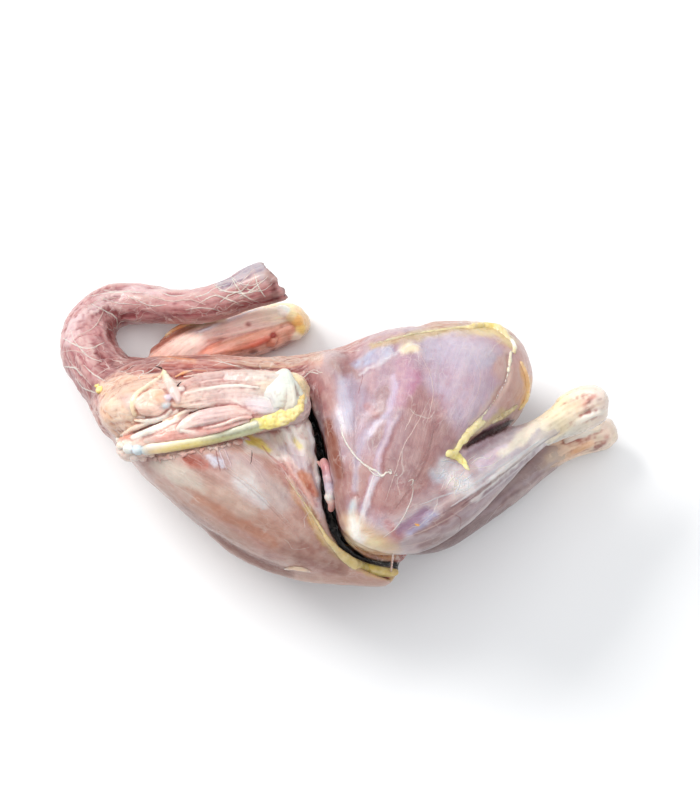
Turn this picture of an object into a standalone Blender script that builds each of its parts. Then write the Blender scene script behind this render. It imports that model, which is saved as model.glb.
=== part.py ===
"""Whole raw chicken: dressed, skinless, with its neck, lying on its right side.

Metres, +Z up. The bird lies on the plane z = 0 with its head end towards -X,
its legs towards +X, its back towards +Y and its breast towards -Y. The origin
is the middle of the bird's bounding box, on the plane it lies on.

The body is laid out muscle by muscle. Every muscle or limb is a spine of a few
stations on a plan drawing, with a half width across the plan and a half
thickness in height at each station. Each spine is lofted into a closed solid
with rounded ends, the solids are melted into one body, and the gap in front of
the thigh, the cut end of the neck and the flats that the bird lies on are cut.
"""

import math

import bmesh
import bpy
from mathutils import Vector

# ---------------------------------------------------------------- plan drawing
# Stations are given in squares of a drawing of the bird as an eye sees it from
# almost straight above. plan() turns a square at a height into a position.
EYE_DISTANCE = 1.000  # from the eye to the middle of the bird
EYE_TILT = math.radians(80.0)  # above the horizontal
EYE_FOCUS = 2378.0  # squares to the unit of slope
DRAWING_MIDDLE = (350.0, 400.0)
TARGET = Vector((0.0049, 0.0078, 0.0450))  # what the eye looks at

# ------------------------------------------------------------- making the skin
RING_SIDES = 20  # points around a muscle
SPAN_STEPS = 4  # rings from one station to the next
CAP_RINGS = 3  # rings in a rounded end
VOXEL = 0.0021
SMOOTH_STEPS = 9
SMOOTH_FACTOR = 0.5
TRIANGLES = 9000

# ------------------------------------------------------------------- the cuts
GAP_SQUARES = (  # middle of the gap between breast and thigh, and its half width
    (306, 396, 1.2),
    (311, 420, 1.9),
    (318, 448, 2.2),
    (325, 478, 2.2),
    (332, 512, 2.4),
    (343, 541, 2.6),
    (360, 558, 2.8),
    (382, 568, 3.0),
    (412, 575, 4.0),
)
GAP_DRAWN_AT = 72.0  # height in mm at which the gap was drawn
GAP_NEAR = (0.050, 0.110)  # heights that the gap spans on the upper side
GAP_FAR = (-0.010, 0.030)  # and on the side that lies down
NECK_END = (279, 285, 41.0)  # middle of the cut end of the neck
NECK_AWAY = (369, 243)  # a square straight out from that cut
NECK_SAW = (0.030, 0.032, 0.028)  # how much the saw clears: along, across, high
TABLE = 0.0

# ---------------------------------------------------------- muscles and limbs
# (square right, square down, height mm, half width squares, half thickness mm)
MUSCLES = {
    "trunk": (
        (128, 408, 46, 34, 26), (165, 412, 46, 54, 31), (215, 417, 46, 61, 33),
        (270, 419, 46, 61, 31), (325, 406, 46, 53, 29), (385, 395, 46, 56, 30),
        (445, 382, 46, 54, 30), (484, 374, 46, 44, 25),
    ),
    "breast_left": (
        (137, 436, 57, 20, 16), (184, 455, 62, 42, 22), (236, 483, 63, 53, 23),
        (285, 521, 59, 43, 17), (330, 553, 52, 22, 10), (380, 572, 48, 8, 5),
    ),
    "breast_right": (
        (137, 436, 34, 20, 16), (184, 455, 27, 42, 23), (236, 483, 25, 53, 26),
        (285, 521, 29, 43, 20), (330, 553, 38, 22, 10), (380, 572, 44, 8, 5),
    ),
    "keel": (
        (158, 468, 46, 14, 9), (205, 508, 46, 17, 7), (250, 545, 46, 18, 6),
        (310, 568, 46, 14, 5), (384, 576, 46, 6, 4),
    ),
    "belly": ((340, 465, 46, 40, 22), (372, 510, 46, 28, 13), (396, 550, 46, 13, 6)),
    "belly_wall": (
        (300, 430, 46, 22, 22), (322, 490, 46, 22, 18), (345, 535, 44, 20, 13),
        (372, 560, 42, 12, 7), (392, 570, 42, 6, 5),
    ),
    "flank_left": (
        (288, 418, 68, 22, 16), (300, 455, 67, 20, 16), (313, 500, 63, 15, 12),
        (333, 538, 57, 9, 8),
    ),
    "flank_right": (
        (288, 418, 28, 22, 16), (300, 455, 28, 20, 16), (313, 500, 32, 15, 12),
        (333, 538, 37, 9, 8),
    ),
    "thigh_left_front": (
        (330, 378, 62, 22, 17), (341, 425, 70, 23, 18), (349, 475, 75, 21, 15),
        (357, 522, 77, 17, 12),
    ),
    "thigh_left_middle": (
        (405, 385, 64, 54, 22), (400, 430, 70, 60, 24), (385, 480, 75, 46, 18),
        (372, 525, 77, 24, 13),
    ),
    "thigh_left_back": (
        (468, 380, 60, 48, 25), (455, 412, 66, 48, 24), (425, 455, 72, 38, 19),
        (400, 500, 76, 27, 15),
    ),
    "thigh_left_cover": (
        (362, 425, 65, 42, 22), (405, 410, 68, 56, 24.5), (452, 396, 66, 52, 25),
        (486, 388, 60, 36, 21),
    ),
    "rump_left": (
        (505, 366, 54, 22, 18), (508, 386, 55, 23, 20), (493, 408, 57, 24, 19),
        (470, 428, 62, 18, 15),
    ),
    "drumstick_left": (
        (370, 537, 78, 20, 11), (410, 520, 77, 34, 14), (450, 495, 75, 34, 14),
        (488, 467, 71, 26, 12), (520, 445, 67, 18, 9), (548, 427, 64, 14, 7),
        (572, 411, 61, 16, 7), (590, 404, 59, 17, 8),
    ),
    "thigh_right_middle": (
        (405, 385, 28, 54, 26), (400, 430, 22, 58, 25), (385, 480, 17, 46, 19),
        (378, 522, 15, 26, 14),
    ),
    "thigh_right_back": (
        (468, 380, 32, 48, 28), (455, 412, 27, 48, 26), (425, 455, 21, 38, 20),
        (400, 500, 17, 27, 16),
    ),
    "thigh_right_cover": (
        (362, 425, 27, 42, 22), (405, 410, 24, 56, 24.5), (452, 396, 26, 52, 25),
        (486, 388, 32, 36, 21),
    ),
    "rump_right": (
        (505, 366, 38, 22, 18), (508, 386, 37, 23, 20), (493, 408, 35, 24, 19),
        (470, 428, 30, 18, 15),
    ),
    "drumstick_right": (
        (384, 534, 15, 20, 12), (430, 522, 16, 31, 15), (470, 500, 17, 29, 14),
        (508, 478, 17, 24, 11.5), (540, 460, 16, 17, 8.5), (566, 446, 15, 14, 7),
        (588, 437, 14, 16, 8), (600, 434, 14, 16, 8),
    ),
    "tail": ((440, 352, 46, 24, 24), (480, 346, 46, 22, 17), (500, 344, 46, 19, 11)),
    "neck": (
        (145, 396, 46, 32, 15), (110, 381, 40, 30, 14.5), (89, 350, 26, 29, 12.5),
        (92, 325, 16, 25, 11.5), (111, 307, 10.5, 22, 10.5), (142, 304, 13, 20, 9.5),
        (177, 307, 22, 18, 9), (210, 304, 31, 18, 9), (240, 293, 38, 20, 9.5),
        (264, 284, 40, 22, 10), (296, 274, 41, 22, 10),
    ),
    "wing_left_upper": (
        (118, 414, 68, 26, 15), (146, 408, 75, 27, 13), (186, 400, 80, 20, 10),
        (230, 396, 82, 18, 9.5), (266, 392, 83, 19, 9.5), (290, 392, 82, 19, 9),
    ),
    "wing_left_fore": (
        (290, 406, 82, 20, 8.5), (250, 415, 84, 18, 8), (205, 426, 83, 17, 7.5),
        (165, 437, 80, 15, 7), (130, 448, 75, 13, 6.5),
    ),
    "wing_right_upper": (
        (150, 398, 21, 28, 13), (165, 372, 14.5, 22, 11), (205, 339, 9, 15, 9),
        (240, 326, 9, 16, 10), (270, 319, 9.5, 14, 10), (289, 318, 8.5, 14, 9),
        (297, 324, 7.5, 13, 8),
    ),
    "wing_right_fore": (
        (288, 331, 8, 11, 8), (262, 339, 8.5, 14, 9), (228, 350, 9, 12, 9),
        (190, 366, 10, 12, 9),
    ),
    "wing_right_web": ((158, 354, 14, 8, 3), (182, 342, 12, 11, 3), (208, 330, 10, 8, 3)),
}

MM = 0.001
EYE_BACK = Vector((0.0, -math.cos(EYE_TILT), math.sin(EYE_TILT)))
EYE_UP = Vector((0.0, math.sin(EYE_TILT), math.cos(EYE_TILT)))
EYE = TARGET + EYE_DISTANCE * EYE_BACK


def plan(right, down, height):
    """Position in metres of a drawing square at a height in millimetres."""
    ray = (
        -EYE_BACK
        + Vector((1.0, 0.0, 0.0)) * ((right - DRAWING_MIDDLE[0]) / EYE_FOCUS)
        - EYE_UP * ((down - DRAWING_MIDDLE[1]) / EYE_FOCUS)
    )
    return EYE + ray * ((height * MM - EYE.z) / ray.z)


def square_size(height):
    """Metres across one drawing square at a height in millimetres."""
    drop = (height * MM - TARGET.z) * math.sin(EYE_TILT)
    return (EYE_DISTANCE - drop) / EYE_FOCUS


def station(right, down, height, half_width, half_thickness):
    """(x, y, z, half width, half thickness) in metres."""
    place = plan(right, down, height)
    return (*place, half_width * square_size(height), half_thickness * MM)


def spline(stations, steps):
    """Catmull-Rom samples through the stations, end stations included."""
    first = [2 * a - b for a, b in zip(stations[0], stations[1])]
    last = [2 * a - b for a, b in zip(stations[-1], stations[-2])]
    line = [first, *stations, last]
    samples = []
    for p0, p1, p2, p3 in zip(line, line[1:], line[2:], line[3:]):
        for step in range(steps):
            t = step / steps
            samples.append(
                [
                    0.5
                    * (
                        2 * b
                        + (c - a) * t
                        + (2 * a - 5 * b + 4 * c - d) * t * t
                        + (3 * b - a - 3 * c + d) * t**3
                    )
                    for a, b, c, d in zip(p0, p1, p2, p3)
                ]
            )
    samples.append(list(stations[-1]))
    return samples


def loft(bm, stations):
    """Adds a closed solid of elliptical rings along the stations."""
    line = spline([station(*row) for row in stations], SPAN_STEPS)
    places = [Vector(row[:3]) for row in line]
    rings = []
    for index, row in enumerate(line):
        before = places[max(index - 1, 0)]
        after = places[min(index + 1, len(line) - 1)]
        along = (after - before).normalized()
        rings.append((places[index], along, row[3], row[4]))

    def cap(ring, sign):
        """Rings that close an end like half an egg, from the tip inwards."""
        place, along, wide, thick = ring
        made = []
        for step in range(CAP_RINGS, 0, -1):
            turn = math.pi / 2 * step / (CAP_RINGS + 1)
            out = place + along * (sign * wide * math.sin(turn))
            made.append((out, along, wide * math.cos(turn), thick * math.cos(turn)))
        return made

    start, end = rings[0], rings[-1]
    tips = (start[0] - start[1] * start[2], end[0] + end[1] * end[2])
    rings = cap(start, -1) + rings + cap(end, 1)[::-1]
    loops = []
    for place, along, wide, thick in rings:
        side = Vector((0.0, 0.0, 1.0)).cross(along).normalized()
        lift = along.cross(side).normalized()
        loops.append(
            [
                bm.verts.new(
                    place
                    + side * (wide * math.cos(2 * math.pi * k / RING_SIDES))
                    + lift * (thick * math.sin(2 * math.pi * k / RING_SIDES))
                )
                for k in range(RING_SIDES)
            ]
        )
    for low, high in zip(loops, loops[1:]):
        for k in range(RING_SIDES):
            n = (k + 1) % RING_SIDES
            bm.faces.new((low[k], low[n], high[n], high[k]))
    for tip, loop, flip in ((tips[0], loops[0], True), (tips[1], loops[-1], False)):
        point = bm.verts.new(tip)
        for k in range(RING_SIDES):
            n = (k + 1) % RING_SIDES
            pair = (loop[n], loop[k]) if flip else (loop[k], loop[n])
            bm.faces.new((*pair, point))


def mesh_object(name, bm):
    bmesh.ops.recalc_face_normals(bm, faces=bm.faces)
    mesh = bpy.data.meshes.new(name)
    bm.to_mesh(mesh)
    bm.free()
    made = bpy.data.objects.new(name, mesh)
    bpy.context.scene.collection.objects.link(made)
    return made


def cutter(name, bm):
    made = mesh_object(name, bm)
    made.hide_render = True
    made.display_type = "WIRE"
    return made


def gap_cutter(name, heights):
    """A curved wall that follows the gap in front of the thigh."""
    middle = []
    for right, down, half in GAP_SQUARES:
        place = plan(right, down, GAP_DRAWN_AT)
        middle.append((place.x, place.y, half * MM))
    line = spline(middle, 2)
    left, right_side = [], []
    for index, (x, y, half) in enumerate(line):
        ax, ay = line[max(index - 1, 0)][:2]
        bx, by = line[min(index + 1, len(line) - 1)][:2]
        along = Vector((bx - ax, by - ay)).normalized()
        left.append((x - along.y * half, y + along.x * half))
        right_side.append((x + along.y * half, y - along.x * half))
    outline = left + right_side[::-1]
    bm = bmesh.new()
    low = [bm.verts.new((x, y, heights[0])) for x, y in outline]
    high = [bm.verts.new((x, y, heights[1])) for x, y in outline]
    count, last = len(outline), len(left) - 1
    for k in range(count):
        n = (k + 1) % count
        bm.faces.new((low[k], low[n], high[n], high[k]))
    for k in range(last):
        n = count - 1 - k
        bm.faces.new((low[k], low[n], low[n - 1], low[k + 1]))
        bm.faces.new((high[k], high[k + 1], high[n - 1], high[n]))
    return cutter(name, bm)


def box_cutter(name, middle, along, size):
    """A box of the given size, with its first side along a direction."""
    side = Vector((0.0, 0.0, 1.0)).cross(along).normalized()
    lift = along.cross(side).normalized()
    bm = bmesh.new()
    bmesh.ops.create_cube(bm, size=1.0)
    for vert in bm.verts:
        x, y, z = vert.co
        vert.co = middle + along * (x * size[0]) + side * (y * size[1]) + lift * (z * size[2])
    return cutter(name, bm)


def cut_with(obj, tool):
    modifier = obj.modifiers.new(tool.name, "BOOLEAN")
    modifier.operation = "DIFFERENCE"
    modifier.solver = "EXACT"
    modifier.object = tool


def material(name, colour, roughness):
    made = bpy.data.materials.new(name)
    made.use_nodes = True
    shader = made.node_tree.nodes["Principled BSDF"]
    shader.inputs["Base Color"].default_value = (*colour, 1.0)
    shader.inputs["Roughness"].default_value = roughness
    shader.inputs["Metallic"].default_value = 0.0
    return made


def main():
    for old in list(bpy.data.objects):
        bpy.data.objects.remove(old, do_unlink=True)

    bm = bmesh.new()
    for stations in MUSCLES.values():
        loft(bm, stations)
    bird = mesh_object("chicken", bm)
    bird.data.materials.append(material("raw_flesh", (0.62, 0.37, 0.33), 0.32))

    melt = bird.modifiers.new("melt", "REMESH")
    melt.mode = "VOXEL"
    melt.voxel_size = VOXEL
    melt.adaptivity = 0.0
    ease = bird.modifiers.new("ease", "SMOOTH")
    ease.factor = SMOOTH_FACTOR
    ease.iterations = SMOOTH_STEPS

    graph = bpy.context.evaluated_depsgraph_get()
    skin = bpy.data.meshes.new_from_object(bird.evaluated_get(graph))
    faces = sum(len(face.vertices) - 2 for face in skin.polygons)
    bpy.data.meshes.remove(skin)
    thin = bird.modifiers.new("thin", "DECIMATE")
    thin.decimate_type = "COLLAPSE"
    thin.ratio = TRIANGLES / faces

    cut_with(bird, gap_cutter("gap_upper_side", GAP_NEAR))
    cut_with(bird, gap_cutter("gap_lower_side", GAP_FAR))
    end = plan(*NECK_END)
    away = (plan(*NECK_AWAY, NECK_END[2]) - end).normalized()
    cut_with(bird, box_cutter("neck_saw", end + away * (NECK_SAW[0] / 2), away, NECK_SAW))
    slab = Vector((0.0, 0.0, TABLE - 0.02))
    cut_with(bird, box_cutter("table_cut", slab, Vector((1.0, 0.0, 0.0)), (0.5, 0.5, 0.04)))

    for face in bird.data.polygons:
        face.use_smooth = True


main()
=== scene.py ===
"""The looks of a whole raw chicken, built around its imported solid."""
import math

import bpy
import numpy as np
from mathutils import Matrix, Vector
from mathutils.bvhtree import BVHTree


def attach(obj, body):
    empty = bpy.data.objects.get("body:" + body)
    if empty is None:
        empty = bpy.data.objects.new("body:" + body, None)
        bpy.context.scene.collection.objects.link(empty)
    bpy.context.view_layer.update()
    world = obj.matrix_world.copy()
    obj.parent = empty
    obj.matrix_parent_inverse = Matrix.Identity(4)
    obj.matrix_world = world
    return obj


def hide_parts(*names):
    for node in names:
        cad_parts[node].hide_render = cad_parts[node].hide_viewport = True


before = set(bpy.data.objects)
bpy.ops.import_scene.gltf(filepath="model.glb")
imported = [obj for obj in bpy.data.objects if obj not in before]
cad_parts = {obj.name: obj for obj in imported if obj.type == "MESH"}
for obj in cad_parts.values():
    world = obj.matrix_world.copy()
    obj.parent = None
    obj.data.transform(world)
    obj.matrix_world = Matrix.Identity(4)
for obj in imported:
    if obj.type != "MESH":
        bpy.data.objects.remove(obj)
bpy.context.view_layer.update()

# =============================================================== the drawing
# Lengths are in millimetres until a mesh is made. A place on the bird is given
# in squares of a drawing that an eye almost straight above it would make.
EYE_DISTANCE = 1000.0
FOCUS = 2378.0
TILT = math.radians(80.0)
TARGET = np.array([4.9, 7.8, 45.0])
BACK = np.array([0.0, -math.cos(TILT), math.sin(TILT)])
RIGHT = np.array([1.0, 0.0, 0.0])
UP = np.array([0.0, math.sin(TILT), math.cos(TILT)])
EYE = TARGET + EYE_DISTANCE * BACK
TABLE_Z = 0.15


def plan(u, v, z):
    ray = -BACK + RIGHT * ((u - 350.0) / FOCUS) - UP * ((v - 400.0) / FOCUS)
    return EYE + ray * ((z - EYE[2]) / ray[2])


def square(z):
    return (EYE_DISTANCE - (z - TARGET[2]) * math.sin(TILT)) / FOCUS


def project(P):
    d = P - EYE
    depth = -(d @ BACK)
    return np.stack([350.0 + FOCUS * (d @ RIGHT) / depth, 400.0 - FOCUS * (d @ UP) / depth], 1)


# ============================================================ muscles, limbs
# name: (blend mm, ((u, v, height mm, half width squares, half thickness mm), ...))
MUSCLES = {
    "trunk": (6, ((128, 408, 46, 34, 26), (165, 412, 46, 54, 31), (215, 417, 46, 61, 33), (270, 419, 46, 61, 31),
                  (325, 406, 46, 53, 29), (385, 395, 46, 56, 30), (445, 382, 46, 54, 30), (484, 374, 46, 44, 25))),
    "breast_left": (6, ((137, 436, 57, 20, 16), (184, 455, 62, 42, 22), (236, 483, 63, 53, 23), (285, 521, 59, 43, 17),
                        (330, 553, 52, 22, 10), (380, 572, 48, 8, 5))),
    "breast_right": (6, ((137, 436, 34, 20, 16), (184, 455, 27, 42, 23), (236, 483, 25, 53, 26), (285, 521, 29, 43, 20),
                         (330, 553, 38, 22, 10), (380, 572, 44, 8, 5))),
    "keel": (8, ((158, 468, 46, 14, 9), (205, 508, 46, 17, 7), (250, 545, 46, 18, 6), (310, 568, 46, 14, 5),
                 (384, 576, 46, 6, 4))),
    "belly": (5, ((340, 465, 46, 40, 22), (372, 510, 46, 28, 13), (396, 550, 46, 13, 6))),
    "belly_wall": (4, ((300, 430, 46, 22, 22), (322, 490, 46, 22, 18), (345, 535, 44, 20, 13), (372, 560, 42, 12, 7),
                       (392, 570, 42, 6, 5))),
    "flank_left": (8, ((288, 418, 68, 22, 16), (300, 455, 67, 20, 16), (313, 500, 63, 15, 12), (333, 538, 57, 9, 8))),
    "flank_right": (8, ((288, 418, 28, 22, 16), (300, 455, 28, 20, 16), (313, 500, 32, 15, 12), (333, 538, 37, 9, 8))),
    "thigh_left_front": (7, ((330, 378, 62, 22, 17), (341, 425, 70, 23, 18), (349, 475, 75, 21, 15), (357, 522, 77, 17, 12))),
    "thigh_left_middle": (12, ((405, 385, 64, 54, 22), (400, 430, 70, 60, 24), (385, 480, 75, 46, 18), (372, 525, 77, 24, 13))),
    "thigh_left_back": (12, ((468, 380, 60, 48, 25), (455, 412, 66, 48, 24), (425, 455, 72, 38, 19), (400, 500, 76, 27, 15))),
    "rump_left": (8, ((501, 366, 54, 20, 18), (504, 386, 55, 21, 20), (491, 407, 57, 23, 19), (470, 428, 62, 18, 15))),
    "drumstick_left": (6, ((370, 537, 78, 20, 11), (410, 520, 77, 34, 14), (450, 495, 75, 34, 14), (488, 467, 71, 26, 12),
                           (520, 445, 67, 18, 9), (548, 427, 64, 14, 7), (572, 411, 61, 16, 7), (590, 404, 59, 17, 8))),
    "thigh_right_middle": (8, ((405, 385, 28, 54, 26), (400, 430, 22, 58, 25), (385, 480, 17, 46, 19), (378, 522, 15, 26, 14))),
    "thigh_right_back": (10, ((468, 380, 32, 48, 28), (455, 412, 27, 48, 26), (425, 455, 21, 38, 20), (400, 500, 17, 27, 16))),
    "rump_right": (8, ((501, 366, 38, 20, 18), (504, 386, 37, 21, 20), (491, 407, 35, 23, 19), (470, 428, 30, 18, 15))),
    "drumstick_right": (4, ((384, 534, 15, 20, 12), (430, 522, 16, 31, 15), (470, 500, 17, 29, 14), (508, 478, 17, 24, 11.5),
                            (540, 460, 16, 17, 8.5), (566, 446, 15, 14, 7), (588, 437, 14, 16, 8), (600, 434, 14, 16, 8))),
    "tail": (6, ((440, 352, 46, 24, 24), (478, 347, 46, 21, 17), (496, 346, 46, 17, 11))),
    "neck": (7, ((145, 396, 46, 32, 15), (110, 381, 40, 30, 14.5), (89, 350, 26, 29, 12.5), (92, 325, 16, 25, 11.5),
                 (111, 307, 10.5, 22, 10.5), (142, 304, 13, 20, 9.5), (177, 307, 22, 18, 9), (210, 304, 31, 18, 9),
                 (240, 293, 38, 20, 9.5), (264, 284, 40, 22, 10), (296, 274, 41, 22, 10))),
    "wing_left_upper": (4, ((123, 412, 68, 23, 15), (146, 408, 75, 27, 13), (186, 400, 80, 20, 10), (230, 396, 82, 18, 9.5),
                            (266, 392, 83, 19, 9.5), (290, 392, 82, 19, 9))),
    "wing_left_fore": (3, ((290, 406, 82, 20, 8.5), (250, 415, 84, 18, 8), (205, 426, 83, 17, 7.5), (165, 437, 80, 15, 7),
                           (130, 448, 75, 13, 6.5))),
    "wing_right_upper": (4, ((150, 398, 21, 28, 13), (165, 372, 14.5, 22, 11), (205, 339, 9, 15, 9), (240, 326, 9, 16, 10),
                             (270, 319, 9.5, 14, 10), (289, 318, 8.5, 14, 9), (297, 324, 7.5, 13, 8))),
    "wing_right_fore": (3, ((288, 331, 8, 11, 8), (262, 339, 8.5, 14, 9), (228, 350, 9, 12, 9), (190, 366, 10, 12, 9))),
    "wing_right_web": (2, ((158, 354, 14, 8, 3), (182, 342, 12, 11, 3), (208, 330, 10, 8, 3))),
}


def spline(stations, steps):
    """Catmull-Rom samples through the stations, ends included."""
    S = np.asarray(stations, float)
    if len(S) < 2:
        return S
    P = np.vstack([2 * S[0] - S[1], S, 2 * S[-1] - S[-2]])
    out = []
    for p0, p1, p2, p3 in zip(P, P[1:], P[2:], P[3:]):
        for k in range(steps):
            t = k / steps
            out.append(0.5 * (2 * p1 + (p2 - p0) * t + (2 * p0 - 5 * p1 + 4 * p2 - p3) * t * t
                              + (3 * p1 - p0 - 3 * p2 + p3) * t**3))
    out.append(S[-1])
    return np.array(out)


def to_mm(rows):
    return np.array([(*plan(u, v, z), r * square(z), t) for u, v, z, r, t in rows])


CHAINS = {name: (blend, to_mm(rows)) for name, (blend, rows) in MUSCLES.items()}


def smin(a, b, k):
    h = np.maximum(k - np.abs(a - b), 0) / k
    return np.minimum(a, b) - h * h * k * 0.25


def smax(a, b, k):
    h = np.maximum(k - np.abs(a - b), 0) / k
    return np.maximum(a, b) + h * h * k * 0.25


def step(x, lo, hi):
    t = np.clip((x - lo) / (hi - lo), 0, 1)
    return t * t * (3 - 2 * t)


def span_distance(a, b, X, Y, Z):
    """Distance to one elliptical stretch of limb from a to b, and where along it."""
    ux, uy, uz = b[0] - a[0], b[1] - a[1], b[2] - a[2]
    k0, k1 = a[3] / a[4], b[3] / b[4]
    km = (k0 + k1) / 2
    dx, dy, dz = X - a[0], Y - a[1], Z - a[2]
    t = np.clip((dx * ux + dy * uy + km * km * dz * uz) / (ux * ux + uy * uy + (km * uz) ** 2 + 1e-9), 0, 1)
    qx, qy, qz = dx - t * ux, dy - t * uy, dz - t * uz
    k = k0 + (k1 - k0) * t
    q2 = qx * qx + qy * qy
    s = np.sqrt(q2 + (k * qz) ** 2 + 1e-12)
    g = np.sqrt(q2 + (k * k * qz) ** 2 + 1e-12) / s
    return (s - (a[3] + (b[3] - a[3]) * t)) / g, t, qz


# ============================================================= noise, fields
def hash3(i, j, k, seed):
    with np.errstate(over="ignore"):
        n = (i.astype(np.uint32) * np.uint32(374761393) + j.astype(np.uint32) * np.uint32(668265263)
             + k.astype(np.uint32) * np.uint32(2246822519) + np.uint32(seed * 3266489917 % 4294967296))
        n = (n ^ (n >> np.uint32(13))) * np.uint32(1274126177)
        n = (n ^ (n >> np.uint32(16))) * np.uint32(2654435761)
        return ((n ^ (n >> np.uint32(15))) & np.uint32(0xFFFFFF)).astype(np.float64) / 16777215.0 * 2 - 1


def noise(P, size, seed=0):
    """Smooth noise from -1 to 1 with lumps of about the given size (one number or three)."""
    q = P / np.asarray(size, float) + 1000.37
    i = np.floor(q).astype(np.int64)
    f = q - i
    w = f * f * f * (f * (f * 6 - 15) + 10)
    out = 0.0
    for a in (0, 1):
        wa = w[:, 0] if a else 1 - w[:, 0]
        for b in (0, 1):
            wb = w[:, 1] if b else 1 - w[:, 1]
            for c in (0, 1):
                wc = w[:, 2] if c else 1 - w[:, 2]
                out = out + hash3(i[:, 0] + a, i[:, 1] + b, i[:, 2] + c, seed) * wa * wb * wc
    return out


def lumps(P, size, octaves, seed=0):
    out, gain, total = 0.0, 1.0, 0.0
    size = np.asarray(size, float)
    for o in range(octaves):
        out = out + gain * noise(P, size / 2**o, seed + 31 * o)
        total += gain
        gain *= 0.55
    return out / total * 1.6


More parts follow.
